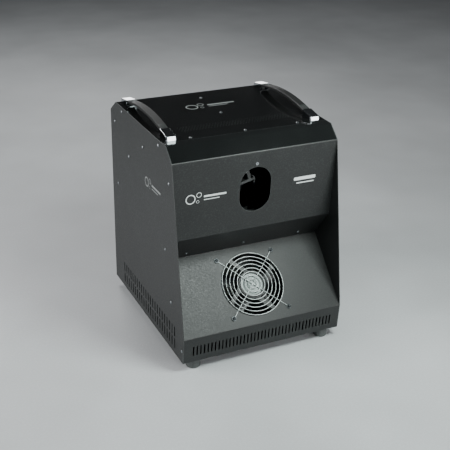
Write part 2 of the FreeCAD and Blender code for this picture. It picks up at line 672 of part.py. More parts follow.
def side_panel(side):
    """Flat side sheet with the cabinet's outline; side is -1 for left, +1 for right."""
    outline = slant_line()[:2] + front_line()[2:4] + rear_line()[::-1]
    x = sorted((side * HALF_WIDTH, side * INNER_HALF))
    plate = prism(outline, x[0], x[1])
    corners = [e for e in plate.Edges if abs(e.tangentAt(0).x) > 0.99 and e.Vertexes[0].Z > 1]
    plate = plate.makeFillet(BEND_RADIUS + SHEET, corners)
    return cut(plate, side_slots(x[0]) + side_screw_holes())


def side_slots(x):
    pitch = (CASE_DEPTH - SIDE_SLOT_REAR_MARGIN - SIDE_SLOT_FIRST) / (SIDE_SLOT_COUNT - 1)
    cutters = []
    for low, high in SIDE_SLOT_ROWS:
        for i in range(SIDE_SLOT_COUNT):
            centre = V(x, SIDE_SLOT_FIRST + i * pitch, (low + high) / 2)
            cutters.append(obround(centre, V(0, 1, 0), V(0, 0, 1), V(6, 0, 0), SIDE_SLOT_WIDTH, high - low))
    return cutters


def equipment_shelf():
    """Shelf between the fluid bay and the upper compartment."""
    half = FLANGE_HALF
    plate = box(-half, half, SHELF_FRONT, REAR_INNER, SHELF_HEIGHT, SHELF_TOP)
    low = SHELF_HEIGHT - SHELF_FLANGE
    walls = [box(-half, half, SHELF_FRONT, SHELF_FRONT + SHEET, low, SHELF_TOP),
             box(-half, half, REAR_INNER - SHEET, REAR_INNER, low, SHELF_TOP),
             box(-half, -half + SHEET, SHELF_FRONT, REAR_INNER, low, SHELF_TOP),
             box(half - SHEET, half, SHELF_FRONT, REAR_INNER, low, SHELF_TOP)]
    holes = [rod(HOSE_RADIUS + 1, V(p.x, p.y, low - 30), V(p.x, p.y, SHELF_TOP + 5)) for p in hose_rises()]
    rear = [rod(M4_HOLE, p - V(0, 8, 0), p) for p in rear_screws()[-2:]]
    return cut(fuse([plate] + walls), holes + rear + side_screw_holes())


def rubber_foot(place):
    """Moulded foot with a rounded tread edge and a counterbore for its screw."""
    body = Part.makeCone(FOOT_RADIUS, FOOT_TOP_RADIUS, FOOT_HEIGHT, place - V(0, 0, FOOT_HEIGHT))
    tread = [e for e in body.Edges if e.Closed and e.Curve.Center.z < place.z - FOOT_HEIGHT / 2]
    body = body.makeFillet(FOOT_ROUNDING, tread)
    counterbore = rod(7.0, place - V(0, 0, FOOT_HEIGHT + 1), place - V(0, 0, 6))
    return cut(body, [counterbore, rod(M4_HOLE, place - V(0, 0, 8), place + V(0, 0, 1))])


def foot_fasteners():
    """Screw up through each foot and its nut on the tray."""
    solids = []
    for place in foot_places().values():
        solids.append(pan_screw(place - V(0, 0, 6), V(0, 0, -1), 6 + SHEET + M4_NUT_HEIGHT + 1))
        solids.append(hex_nut(place + V(0, 0, SHEET), V(0, 0, 1)))
    return group(solids)


# ---- handles -------------------------------------------------------------------------------
def grip_line():
    """Start, crown and end of the arc along a grip's top."""
    start = HANDLE_START + CAP_LENGTH - GRIP_END_INSERT
    end = HANDLE_START + HANDLE_LENGTH - CAP_LENGTH + GRIP_END_INSERT
    low = CASE_HEIGHT + GRIP_END_RISE
    return V(0, start, low), V(0, (start + end) / 2, CASE_HEIGHT + GRIP_RISE), V(0, end, low)


def handle_grip(side):
    """Flexible strap: an arc of constant thickness with rounded edges."""
    start, crown, end = grip_line()
    drop = V(0, 0, GRIP_THICK)
    arcs = [Part.Arc(start, crown, end).toShape(), Part.Arc(start - drop, crown - drop, end - drop).toShape()]
    sides = [Part.LineSegment(start, start - drop).toShape(), Part.LineSegment(end, end - drop).toShape()]
    half = CAP_WIDTH / 2 - CAP_WALL - GRIP_SIDE_GAP
    face = Part.Face(Part.Wire(Part.__sortEdges__(arcs + sides)))
    face.translate(V(side * HANDLE_OFFSET - half, 0, 0))
    strap = face.extrude(V(2 * half, 0, 0))
    edges = [e for e in strap.Edges if isinstance(e.Curve, Part.Circle)]
    return strap.makeFillet(2.2, edges)


def handle_cap(side, front):
    """Chrome cap, open towards the grip: sloping top, side walls and a base plate."""
    length = CAP_LENGTH
    outline = [(0, 0), (CAP_NOSE_LEAN, CAP_LOW), (length, CAP_HIGH), (length, 0)]
    shell = prism(outline, -CAP_WIDTH / 2, CAP_WIDTH / 2)
    nose = [e for e in shell.Edges if abs(e.CenterOfMass.x) > 1 and e.CenterOfMass.y < CAP_NOSE_LEAN]
    shell = shell.makeFillet(CAP_NOSE_ROUND, nose)
    top = [e for e in shell.Edges if e.Vertexes[0].Z > 1 and e.Vertexes[-1].Z > 1]
    shell = shell.makeFillet(1.4, [e for e in top if e.CenterOfMass.y < length - 1])
    inner_lean = CAP_WALL + CAP_NOSE_LEAN
    inner = [(CAP_WALL + 0.3, CAP_WALL), (inner_lean, CAP_LOW - CAP_WALL), (length + 1, CAP_HIGH - CAP_WALL + 0.2),
             (length + 1, CAP_WALL)]
    shell = shell.cut(prism(inner, -CAP_WIDTH / 2 + CAP_WALL, CAP_WIDTH / 2 - CAP_WALL))
    lip = box(-CAP_WIDTH / 2, CAP_WIDTH / 2, length - 1, length + CAP_BASE_LIP, 0, CAP_WALL)
    holes = [rod(M4_HOLE, V(0, y, -1), V(0, y, CAP_WALL + 1)) for y in CAP_SCREWS]
    shape = cut(fuse([shell, lip]), holes)
    if not front:
        shape.rotate(V(0, 0, 0), V(0, 0, 1), 180)
    y = HANDLE_START if front else HANDLE_START + HANDLE_LENGTH
    shape.translate(V(side * HANDLE_OFFSET, y, CASE_HEIGHT))
    return shape


def handle_screws():
    """Cap screws, driven up through the roof from inside, with nuts in the caps."""
    solids = []
    seat = V(0, 0, 2 * SHEET)
    for p in handle_screw_places():
        solids.append(pan_screw(p - seat, V(0, 0, -1), 2 * SHEET + CAP_WALL + M4_NUT_HEIGHT + 0.2))
        solids.append(hex_nut(p + V(0, 0, CAP_WALL), V(0, 0, 1)))
        solids.append(tube(M4_HEAD + 0.5, M4 + NUT_PLAY, p - seat, p - V(0, 0, SHEET)))
    return group(solids)


# ---- fan -----------------------------------------------------------------------------------
def fan_frame():
    """Square cast housing with a round duct, four tangential struts and the fixed hub."""
    top = -SHEET
    low = top - FAN_DEPTH
    half = FAN_SIZE / 2
    plates = [rounded_box(-half, half, -half, half, z, z + 5, 9.0, "z") for z in (top - 5, low)]
    duct = rod(FAN_BORE + 3, V(0, 0, low), V(0, 0, top))
    shape = fuse(plates + [duct]).cut(rod(FAN_BORE, V(0, 0, low - 1), V(0, 0, top + 1)))
    half_strut = FAN_STRUT_WIDTH / 2
    strut = box(-half_strut, half_strut, FAN_HUB - 10, FAN_BORE + 1, top - 5, top - 5 + FAN_STRUT_THICK)
    struts = []
    for i in range(4):
        arm = strut.copy()
        arm.translate(V(FAN_HUB * 0.6, 0, 0))
        arm.rotate(V(0, 0, 0), V(0, 0, 1), 45 + 90 * i)
        struts.append(arm)
    hub = rod(FAN_HUB, V(0, 0, top - 10), V(0, 0, top - 1))
    rim = [e for e in hub.Edges if e.Closed and e.Curve.Center.z > top - 2]
    hub = hub.makeFillet(1.5, rim)
    spindle = rod(4.0, V(0, 0, top - FAN_DEPTH + 8), V(0, 0, top - 9))
    holes = [rod(M4_HOLE, p + V(0, 0, low - 1), p + V(0, 0, 1)) for p in slant_corners()]
    return on_slant(cut(fuse([shape] + struts + [hub, spindle]), holes))


def fan_rotor():
    """Cup-shaped rotor with pitched blades, running on the frame's spindle."""
    top = -SHEET - 12
    low = top - 38
    cup = rod(FAN_HUB - 1, V(0, 0, low), V(0, 0, top))
    blades = []
    reach = FAN_BORE - FAN_TIP_GAP
    axis = V(1, 0, 0)
    for i in range(FAN_BLADES):
        root = V(FAN_HUB - 6, 0, -FAN_BLADE_CURVE)
        skin = tube(FAN_BLADE_CURVE + FAN_BLADE_THICK, FAN_BLADE_CURVE, root, root + axis * (reach + 11 - FAN_HUB))
        blade = skin.common(box(0, 2 * reach, -FAN_BLADE_CHORD / 2, FAN_BLADE_CHORD / 2, -FAN_BLADE_CURVE / 2, 9))
        blade.rotate(V(0, 0, 0), axis, FAN_BLADE_PITCH)
        blade.rotate(V(0, 0, 0), V(0, 0, 1), 360 / FAN_BLADES * i)
        blade.translate(V(0, 0, (top + low) / 2))
        blades.append(blade)
    shape = fuse([cup] + blades).common(rod(reach, V(0, 0, low), V(0, 0, top)))
    bore = rod(4.0 + RUNNING_GAP, V(0, 0, low - 1), V(0, 0, top + 1))
    return on_slant(shape.cut(bore))


def fan_guard():
    """Wire guard: concentric rings on two crossed wires that end in screw eyelets."""
    base = GUARD_WIRE + 0.05
    ring_height = base + GUARD_WIRE * 1.6
    rings = []
    for i in range(GUARD_RINGS):
        radius = GUARD_FIRST_RING + i * GUARD_RING_PITCH
        rings.append(Part.makeTorus(radius, GUARD_WIRE, V(0, 0, ring_height), V(0, 0, 1)))
    wires = []
    for sign in (-1, 1):
        tip = V(FAN_HOLE_HALF, sign * FAN_HOLE_HALF, 0)
        toward = V(tip).normalize()
        end = tip - toward * GUARD_EYELET + V(0, 0, base)
        other = toward * GUARD_EYELET - tip + V(0, 0, base)
        wires.append(rod(GUARD_WIRE, other, end))
    eyelets = [Part.makeTorus(GUARD_EYELET, GUARD_WIRE, p + V(0, 0, base), V(0, 0, 1)) for p in slant_corners()]
    return on_slant(fuse(wires + rings + eyelets))


def guard_screws():
    """Screws through eyelet, panel and fan frame, with washers and nuts behind the front flange."""
    solids = []
    seat = 2 * GUARD_WIRE + 0.1
    for p in slant_corners():
        solids.append(tube(5.6, M4 + NUT_PLAY, p + V(0, 0, seat), p + V(0, 0, seat + 0.8)))
        length = seat + 0.8 + SHEET + 5 + M4_NUT_HEIGHT + 1
        solids.append(pan_screw(p + V(0, 0, seat + 0.8), V(0, 0, 1), length))
        solids.append(hex_nut(p - V(0, 0, SHEET + 5), V(0, 0, -1)))
    return on_slant(group(solids))


# ---- bubble unit ---------------------------------------------------------------------------
def wheel_arm():
    """One wand: a straight arm carrying a loop on its leading side, with a short curved tip."""
    thick = WHEEL_THICK / 2
    loop = V(WHEEL_LOOP_AT, 0, WHEEL_LOOP_OFFSET)
    reach = V(0, thick, 0)
    ring = tube(WHEEL_LOOP_RADIUS, WHEEL_LOOP_RADIUS - WHEEL_LOOP_BAND, loop - reach, loop + reach)
    ridge = tube(WHEEL_LOOP_RADIUS - WHEEL_LOOP_BAND + 0.3, WHEEL_LOOP_RADIUS - WHEEL_LOOP_BAND - 1.2,
                 loop - V(0, 0.8, 0), loop + V(0, 0.8, 0))
    wide = WHEEL_LOOP_RADIUS + 2
    below = box(loop.x - wide, loop.x + wide, -9, 9, -wide, 0)
    ring = ring.fuse(ridge).cut(below)
    groove = tube(WHEEL_LOOP_RADIUS - 2.2, WHEEL_LOOP_RADIUS - 4.8, loop - reach * 1.1, loop - reach * 0.7)
    ring = ring.cut(groove)
    arm = box(8, WHEEL_ARM_REACH - 1.5, -thick, thick, -WHEEL_ARM_HALF, WHEEL_ARM_HALF)
    channel = box(15, WHEEL_LOOP_AT, -thick - 1, 1.5 - thick, -1.2, 1.2)
    arm = arm.cut(channel)
    tip_centre = V(WHEEL_ARM_REACH - 14, 0, 0)
    tip = tube(14, 11.6, tip_centre - reach, tip_centre + reach)
    tip = tip.common(box(WHEEL_ARM_REACH - 6, WHEEL_ARM_REACH + 1, -9, 9, -11, 11))
    return [ring, arm, tip]


def bubble_wheel():
    """Wheel of looped wands, moulded with its hub and drive shaft."""
    hub = rod(13, V(0, -5, 0), V(0, 5, 0))
    boss = rod(7, V(0, 4, 0), V(0, 9, 0))
    parts = [hub, boss, rod(WHEEL_SHAFT, V(0, 8, 0), V(0, 30, 0))]
    for i in range(WHEEL_ARMS):
        for piece in wheel_arm():
            piece.rotate(V(0, 0, 0), V(0, 1, 0), -WHEEL_FIRST_ARM - i * 360 / WHEEL_ARMS)
            parts.append(piece)
    shape = fuse(parts)
    shape.translate(WHEEL_HUB)
    return shape


def wheel_motor():
    """Gear motor behind the stand; its bore carries the wheel's shaft."""
    face = WHEEL_HUB + V(0, STAND_FACE + SHEET - WHEEL_PLANE, 0)
    gearbox = rod(18.5, face, face + V(0, 20, 0))
    can = rod(15, face + V(0, 20, 0), face + V(0, 44, 0))
    nose = rod(6, face - V(0, SHEET + 1, 0), face)
    terminals = [box(face.x + s * 6 - 2, face.x + s * 6 + 2, face.y + 44, face.y + 51, face.z - 0.4, face.z + 0.4)
                 for s in (-1, 1)]
    bore = rod(WHEEL_SHAFT + RUNNING_GAP, face - V(0, 5, 0), face + V(0, 18, 0))
    return fuse([gearbox, can, nose] + terminals).cut(bore)


def wheel_stand():
    """Folded stand: foot and riser on the shelf, a ledge over the soffit, an upright plate."""
    riser = SHELF_FRONT + 2
    ledge = SHELF_TOP + STAND_LEDGE_RISE
    step = [(riser + STAND_FOOT, SHELF_TOP), (riser, SHELF_TOP), (riser, ledge), (STAND_FACE, ledge)]
    low = step + [(STAND_FACE, TROUGH_FLOOR + TROUGH_HEIGHT + 8)]
    tall = step + [(STAND_FACE, WHEEL_HUB.z + 30)]
    wide = folded_sheet(low, -1, TROUGH_LEFT + 4, TROUGH_RIGHT - 20)
    narrow = folded_sheet(tall, -1, WHEEL_HUB.x - 30, WHEEL_HUB.x + 30)
    through = V(0, 9, 0)
    hub = V(WHEEL_HUB.x, STAND_FACE, WHEEL_HUB.z)
    hose = V(trough_inlet().x, STAND_FACE, trough_inlet().z)
    holes = [rod(6.3, hub - through, hub + through), rod(HOSE_RADIUS + 1, hose - through, hose + through)]
    return cut(fuse([wide, narrow]), holes)


def bubble_trough():
    """Open bath under the wheel, spaced off the stand by two pads on its back wall."""
    outer = box(TROUGH_LEFT, TROUGH_RIGHT, TROUGH_FACE, TROUGH_BACK, TROUGH_FLOOR, TROUGH_FLOOR + TROUGH_HEIGHT)
    wall = TROUGH_WALL
    inner = box(TROUGH_LEFT + wall, TROUGH_RIGHT - wall, TROUGH_FACE + wall, TROUGH_BACK - wall,
                TROUGH_FLOOR + wall, TROUGH_FLOOR + TROUGH_HEIGHT + 1)
    pads = []
    for x in (TROUGH_LEFT + 30, TROUGH_RIGHT - 50):
        pads.append(rod(6, V(x, TROUGH_BACK - 0.5, TROUGH_FLOOR + 28), V(x, STAND_FACE, TROUGH_FLOOR + 28)))
    inlet = rod(HOSE_BORE, trough_inlet() - V(0, 6, 0), trough_inlet() + V(0, 3, 0))
    return fuse([outer.cut(inner)] + pads).cut(inlet)


def trough_inlet():
    """Where the bubble-fluid hose meets the back of the trough."""
    return V(TANK_LEFTS["bubble"] + 26, TROUGH_BACK, TROUGH_FLOOR + 12)


def blower_housing():
    """Scroll with a rectangular duct that blows forward behind the outlet."""
    centre = V(BLOWER_X, BLOWER_Y, BLOWER_Z)
    half = V(BLOWER_WIDTH / 2, 0, 0)
    wall = BLOWER_WALL
    top = BLOWER_Z + BLOWER_RADIUS
    scroll = rod(BLOWER_RADIUS, centre - half, centre + half)
    duct = box(BLOWER_LEFT, BLOWER_RIGHT, DUCT_FRONT, BLOWER_Y, top - DUCT_HEIGHT, top)
    inner_half = half - V(wall, 0, 0)
    cavity = rod(BLOWER_RADIUS - wall, centre - inner_half, centre + inner_half)
    bore = box(BLOWER_LEFT + wall, BLOWER_RIGHT - wall, DUCT_FRONT - 1, BLOWER_Y,
               top - DUCT_HEIGHT + wall, top - wall)
    inlet = rod(BLOWER_INLET, centre, centre + half + V(5, 0, 0))
    shaft = rod(8.0, centre - half - V(5, 0, 0), centre)
    return cut(scroll.fuse(duct).removeSplitter(), [cavity, bore, inlet, shaft])


def blower_impeller():
    """Squirrel-cage wheel with its shaft, running in the blower motor."""
    centre = V(BLOWER_X, BLOWER_Y, BLOWER_Z)
    half = IMPELLER_WIDTH / 2
    back = rod(IMPELLER_RADIUS, centre - V(half, 0, 0), centre - V(half - 2, 0, 0))
    ring = tube(IMPELLER_RADIUS, IMPELLER_RADIUS - 9, centre + V(half - 2, 0, 0), centre + V(half, 0, 0))
    hub = rod(7, centre - V(half, 0, 0), centre + V(2, 0, 0))
    shaft = rod(WHEEL_SHAFT, centre - V(BLOWER_WIDTH / 2 + 20, 0, 0), centre)
    blades = []
    for i in range(IMPELLER_BLADES):
        blade = box(-half + 1, half - 1, IMPELLER_RADIUS - 8, IMPELLER_RADIUS - 0.6, -0.6, 0.6)
        blade.rotate(V(0, IMPELLER_RADIUS - 4, 0), V(1, 0, 0), 30)
        blade.rotate(V(0, 0, 0), V(1, 0, 0), 360 / IMPELLER_BLADES * i)
        blade.translate(centre)
        blades.append(blade)
    return fuse([back, ring, hub, shaft] + blades)


def blower_motor():
    centre = V(BLOWER_LEFT, BLOWER_Y, BLOWER_Z)
    flange = rod(BLOWER_MOTOR_RADIUS + 6, centre - V(SHEET + 3, 0, 0), centre - V(SHEET, 0, 0))
    can = rod(BLOWER_MOTOR_RADIUS, centre - V(SHEET + BLOWER_MOTOR_LENGTH, 0, 0), centre - V(SHEET, 0, 0))
    nose = rod(7.5, centre - V(SHEET, 0, 0), centre)
    bore = rod(WHEEL_SHAFT + RUNNING_GAP, centre - V(24, 0, 0), centre + V(2, 0, 0))
    return fuse([flange, can, nose]).cut(bore)


def blower_bracket():
    """Angle plate from the shelf to the blower's motor side."""
    x1 = BLOWER_LEFT
    x0 = x1 - SHEET
    plate = box(x0, x1, BLOWER_Y - 32, BLOWER_Y + 32, SHELF_TOP, BLOWER_Z + 36)
    foot = box(x0 - 22, x1, BLOWER_Y - 32, BLOWER_Y + 32, SHELF_TOP, SHELF_TOP + SHEET)
    hole = rod(8.0, V(x0 - 5, BLOWER_Y, BLOWER_Z), V(x1 + 5, BLOWER_Y, BLOWER_Z))
    return fuse([plate, foot]).cut(hole)


# ---- fog unit ------------------------------------------------------------------------------
def fog_heater():
    """Insulated heater block on two feet, with ribs and a cable gland boss."""
    x0, x1 = HEATER_X - HEATER_WIDTH / 2, HEATER_X + HEATER_WIDTH / 2
    y0, y1 = HEATER_FRONT, HEATER_FRONT + HEATER_LENGTH
    z0, z1 = HEATER_LOW, HEATER_LOW + HEATER_HEIGHT
    block = rounded_box(x0, x1, y0, y1, z0, z1, 8.0, "y")
    bands = [rounded_box(x0 - 1, x1 + 1, y, y + 10, z0 - 1, z1 + 1, 9.0, "y") for y in (y0 + 28, y1 - 38)]
    feet = []
    for y in (y0 + 28, y1 - 38):
        feet.append(box(x0 - 14, x1 + 14, y, y + 10, SHELF_TOP, SHELF_TOP + 2))
        feet += [box(x, x + 2, y, y + 10, SHELF_TOP, z0 + 12) for x in (x0 - 2, x1)]
    boss = rod(9, V(HEATER_X + 12, y1 - 1, z0 + 33), V(HEATER_X + 12, y1 + 8, z0 + 33))
    pipe = fog_pipe_start().z
    seat = rod(FOG_PIPE_BORE, V(FOG_PIPE_X, y0 - 2, pipe), V(FOG_PIPE_X, y0 + 14, pipe))
    return fuse([block, boss] + bands + feet).cut(seat)


def fog_pipe_start():
    return V(FOG_PIPE_X, HEATER_FRONT, HEATER_LOW + HEATER_HEIGHT / 2)


def fog_pipe():
    """Metal pipe from the heater to the back of the outlet."""
    start = fog_pipe_start()
    turn_y = start.y - 28
    high = OPENING_HEIGHT_MID - 10
    points = [start, V(start.x, turn_y, start.z), V(start.x, turn_y, high), V(start.x, FOG_PIPE_END, high)]
    return routed_tube(points, FOG_PIPE_RADIUS, FOG_PIPE_BORE, FOG_PIPE_BEND)


def pump_place():
    return V(HEATER_X + HEATER_WIDTH / 2 + 52, HEATER_FRONT + 20, SHELF_TOP)


def fog_pump():
    """Solenoid piston pump on its angle bracket."""
    p = pump_place()
    foot = box(p.x - 18, p.x + 18, p.y - 22, p.y + 22, p.z, p.z + 2)
    upright = box(p.x - 16, p.x + 16, p.y - 1, p.y + 1, p.z, p.z + 44)
    axis = V(p.x, p.y, p.z + 26)
    coil = rod(14, axis - V(0, 24, 0), axis + V(0, 24, 0))
    nose = rod(6, axis - V(0, 40, 0), axis + V(0, 40, 0))
    return fuse([foot, upright, coil, nose])


def tank(left):
    """Blow-moulded tank with an open neck and a hose fitting."""
    right = left + TANK_WIDTH
    wall = TANK_WALL
    outer = rounded_box(left, right, TANK_FRONT, TANK_BACK, TANK_FLOOR, TANK_TOP, 10.0, "z")
    inner = rounded_box(left + wall, right - wall, TANK_FRONT + wall, TANK_BACK - wall,
                        TANK_FLOOR + wall, TANK_TOP - wall, 8.0, "z")
    neck = tank_neck(left)
    collar = rod(TANK_NECK_RADIUS, neck - V(0, 0, 1), neck + V(0, 0, TANK_NECK_HEIGHT))
    mouth = rod(TANK_NECK_RADIUS - wall, neck - V(0, 0, 2 * wall), neck + V(0, 0, TANK_NECK_HEIGHT + 1))
    rise = tank_fitting(left)
    fitting = rod(HOSE_RADIUS + 2, rise - V(0, 0, 1), rise + V(0, 0, 6))
    drain = rod(HOSE_BORE, rise - V(0, 0, 2 * wall), rise + V(0, 0, 7))
    return cut(fuse([outer, collar, fitting]), [inner, mouth, drain])


def tank_neck(left):
    return V(left + TANK_WIDTH / 2, TANK_BACK - 38, TANK_TOP)


def tank_fitting(left):
    """Foot of the hose: at the tank's outer front, clear of the cap."""
    x = left + 26 if left < TANK_CENTRE_X - TANK_GAP else left + TANK_WIDTH - 26
    return V(x, TANK_FRONT + 26, TANK_TOP)


def tank_cap(left):
    """Screw cap over the neck, ribbed for the fingers."""
    neck = tank_neck(left)
    low = neck + V(0, 0, TANK_NECK_HEIGHT + FIT_GAP - TANK_CAP_HEIGHT + 4)
    top = low + V(0, 0, TANK_CAP_HEIGHT)
    cap = rod(TANK_CAP_RADIUS, low, top)
    rim = [e for e in cap.Edges if e.Closed and e.Curve.Center.z > top.z - 1]
    cap = cap.makeFillet(2.0, rim)
    skirt = rod(TANK_NECK_RADIUS + FIT_GAP, low - V(0, 0, 1), neck + V(0, 0, TANK_NECK_HEIGHT + FIT_GAP))
    grooves = []
    for i in range(24):
        angle = math.radians(15 * i)
        rib = TANK_CAP_RADIUS + 0.6
        place = V(low.x + math.cos(angle) * rib, low.y + math.sin(angle) * rib, 0)
        grooves.append(rod(1.6, V(place.x, place.y, low.z - 1), V(place.x, place.y, top.z - 4)))
    return cut(cap, [skirt] + grooves)


def hose_rises():
    """Where the two hoses pass up through the shelf."""
    fog = tank_fitting(TANK_LEFTS["fog"])
    return [tank_fitting(TANK_LEFTS["bubble"]), V(pump_place().x, fog.y, fog.z)]


def bubble_hose():
    """From the bubble tank up through the shelf and forward to the trough."""
    start = tank_fitting(TANK_LEFTS["bubble"]) + V(0, 0, 6)
    end = trough_inlet()
    corner = V(end.x, start.y, end.z)
    return routed_tube([start, corner, end], HOSE_RADIUS, HOSE_BORE, 30)


def fog_hose():
    """From the fog tank across under the shelf, up through it and forward to the pump's inlet."""
    start = tank_fitting(TANK_LEFTS["fog"]) + V(0, 0, 6)
    pump = pump_place() + V(0, 40, 26)
    under = start + V(0, 0, 27)
    aside = V(pump.x, start.y, under.z)
    above = V(pump.x, start.y, pump.z)
    return routed_tube([start, under, aside, above, pump], HOSE_RADIUS, HOSE_BORE, 13)


# ---- rear door -----------------------------------------------------------------------------
def service_door():
    """Flat door laid over the fluid bay's opening, stiffened by two inward returns."""
    plate = box(DOOR_LEFT, DOOR_RIGHT, DOOR_INNER, DOOR_OUTER, DOOR_LOW, DOOR_HIGH)
    inset = DOOR_OVERLAP + 1
    returns = []
    for z in (DOOR_LOW + inset, DOOR_HIGH - inset - SHEET):
        returns.append(box(DOOR_LEFT + inset + 2, LATCH.x - 24, DOOR_INNER - 10, DOOR_INNER, z, z + SHEET))
    hole = rod(LATCH_SHAFT + RUNNING_GAP, V(LATCH.x, DOOR_INNER - 5, LATCH.z), V(LATCH.x, DOOR_OUTER + 5, LATCH.z))
    return fuse([plate] + returns).cut(hole)


def hinge_spans():
    """Height range of each knuckle, from the bottom up."""
    low, high = DOOR_LOW + 10, DOOR_HIGH - 10
    pitch = (high - low) / HINGE_KNUCKLES
    return [(low + i * pitch + DOOR_GAP / 2, low + (i + 1) * pitch - DOOR_GAP / 2) for i in range(HINGE_KNUCKLES)]


def hinge_leaf(moving):
    """One leaf with its knuckles; the moving leaf lies on the door, the other on the rear panel."""
    axis = HINGE_AXIS
    y0 = DOOR_OUTER if moving else CASE_DEPTH
    side = 1 if moving else -1
    edge = axis.x + side * (HINGE_RADIUS + 0.5)
    far = axis.x + side * (HINGE_RADIUS + 0.5 + HINGE_LEAF_WIDTH)
    low, high = hinge_spans()[0][0], hinge_spans()[-1][1]
    parts = [box(min(edge, far), max(edge, far), y0, y0 + HINGE_LEAF, low, high)]
    for i, (z0, z1) in enumerate(hinge_spans()):
        if (i % 2 == 1) == moving:
            parts.append(box(min(axis.x, edge), max(axis.x, edge), y0, y0 + HINGE_LEAF, z0, z1))
            parts.append(rod(HINGE_RADIUS, V(axis.x, axis.y, z0), V(axis.x, axis.y, z1)))
    bore = rod(HINGE_PIN + RUNNING_GAP, V(axis.x, axis.y, low - 1), V(axis.x, axis.y, high + 1))
    return fuse(parts).cut(bore)


def hinge_pin():
    low, high = hinge_spans()[0][0], hinge_spans()[-1][1]
    pin = rod(HINGE_PIN, V(HINGE_AXIS.x, HINGE_AXIS.y, low - 2), V(HINGE_AXIS.x, HINGE_AXIS.y, high + 1))
    head = rod(HINGE_PIN + 0.8, V(HINGE_AXIS.x, HINGE_AXIS.y, high), V(HINGE_AXIS.x, HINGE_AXIS.y, high + 1.6))
    return fuse([pin, head])


def latch_knob():
    """Winged knob with its shaft through the door."""
    face = CASE_DEPTH + LATCH_STANDOUT
    knob = rod(LATCH_KNOB_RADIUS, V(LATCH.x, DOOR_OUTER + 0.3, LATCH.z), V(LATCH.x, face - 6, LATCH.z))
    wing = rounded_box(LATCH.x - 3, LATCH.x + 3, face - 7, face, LATCH.z - 9, LATCH.z + 9, 2.5, "y")
    shaft = rod(LATCH_SHAFT, V(LATCH.x, REAR_INNER - 4, LATCH.z), V(LATCH.x, DOOR_OUTER + 1, LATCH.z))
    return fuse([knob, wing, shaft])


def latch_cam():
    """Cam on the latch shaft; turned a quarter, it reaches behind the rear panel."""
    y1 = REAR_INNER - 1.0
    y0 = y1 - CAM_THICK
    cam = rounded_box(LATCH.x - CAM_WIDTH / 2, LATCH.x + CAM_WIDTH / 2, y0, y1,
                      LATCH.z - CAM_LENGTH, LATCH.z + CAM_WIDTH / 2, 4.0, "y")
    return cam.cut(rod(LATCH_SHAFT, V(LATCH.x, y0 - 1, LATCH.z), V(LATCH.x, y1 + 1, LATCH.z)))


# ---- rear controls -------------------------------------------------------------------------
def button_places():
    first = DISPLAY_X - (BUTTON_COUNT - 1) / 2 * BUTTON_PITCH
    return [rear_point(first + i * BUTTON_PITCH, BUTTON_DROP) for i in range(BUTTON_COUNT)]


def control_button(place):
    """Round cap through the panel, kept in by a flange behind it."""
    flange_front = REAR_INNER - FIT_GAP
    tip = V(place.x, CASE_DEPTH + BUTTON_PROUD, place.z)
    cap = rod(BUTTON_RADIUS, V(place.x, flange_front - 3.2, place.z), tip)
    rim = [e for e in cap.Edges if e.Closed and e.Curve.Center.y > CASE_DEPTH]
    cap = cap.makeFillet(0.7, rim)
    flange = rod(BUTTON_RADIUS + 1.5, V(place.x, flange_front - 1.6, place.z), V(place.x, flange_front, place.z))
    return fuse([cap, flange])


def display_window():
    p = rear_point(DISPLAY_X, DISPLAY_DROP)
    half_x, half_z = DISPLAY_WIDTH / 2, DISPLAY_HEIGHT / 2
    return box(p.x - half_x, p.x + half_x, REAR_INNER, CASE_DEPTH + 0.4, p.z - half_z, p.z + half_z)


def control_board():
    """Board behind the rear panel with the display module and one switch per button."""
    p = rear_point(DISPLAY_X, (DISPLAY_DROP + BUTTON_DROP) / 2)
    back = REAR_INNER - 13
    board = box(p.x - 52, p.x + 52, back, back + 1.6, p.z - 40, p.z + 40)
    screen = rear_point(DISPLAY_X, DISPLAY_DROP)
    module = box(screen.x - 36, screen.x + 36, back + 1.6, REAR_INNER, screen.z - 17, screen.z + 17)
    parts = [board, module]
    rest = REAR_INNER - FIT_GAP - 3.2
    for place in button_places():
        front = rest - BUTTON_TRAVEL - FIT_GAP
        parts.append(box(place.x - 3, place.x + 3, back + 1.6, front, place.z - 3, place.z + 3))
    for sx in (-1, 1):
        for sz in (-1, 1):
            start = V(p.x + sx * 47, back + 1.6, p.z + sz * 35)
            parts.append(rod(3, start, V(start.x, REAR_INNER, start.z)))
    return fuse(parts)


def switch_frame():
    """Snap-in housing of the mains switch."""
    p = rear_point(SWITCH_X, SWITCH_DROP)
    bezel = rounded_box(p.x - 13, p.x + 13, CASE_DEPTH, CASE_DEPTH + 2.2, p.z - 16, p.z + 16, 2.0, "y")
    body = box(p.x - 11, p.x + 11, CASE_DEPTH - 24, CASE_DEPTH + 0.5, p.z - 14, p.z + 14)
    xs = (p.x - 5, p.x + 5)
    tabs = [box(x - 0.4, x + 0.4, CASE_DEPTH - 32, CASE_DEPTH - 23, p.z - 3, p.z + 3) for x in xs]
    well = box(p.x - 9.3, p.x + 9.3, CASE_DEPTH - 11, CASE_DEPTH + 5, p.z - 11.5, p.z + 11.5)
    pivot = switch_pivot()
    bore = rod(1.5 + RUNNING_GAP, pivot - V(10.2, 0, 0), pivot + V(10.2, 0, 0))
    return cut(fuse([bezel, body] + tabs), [well, bore])


def switch_pivot():
    return rear_point(SWITCH_X, SWITCH_DROP, -2.0)


def switch_rocker():
    """Rocker on two short trunnions, drawn tilted to its off position."""
    p = switch_pivot()
    key = rounded_box(p.x - 9.0, p.x + 9.0, p.y - 6, p.y + 4.5, p.z - 10.5, p.z + 10.5, 1.2, "x")
    shape = fuse([key, rod(1.5, p - V(10, 0, 0), p + V(10, 0, 0))])
    shape.rotate(p, V(1, 0, 0), -SWITCH_TILT)
    return shape


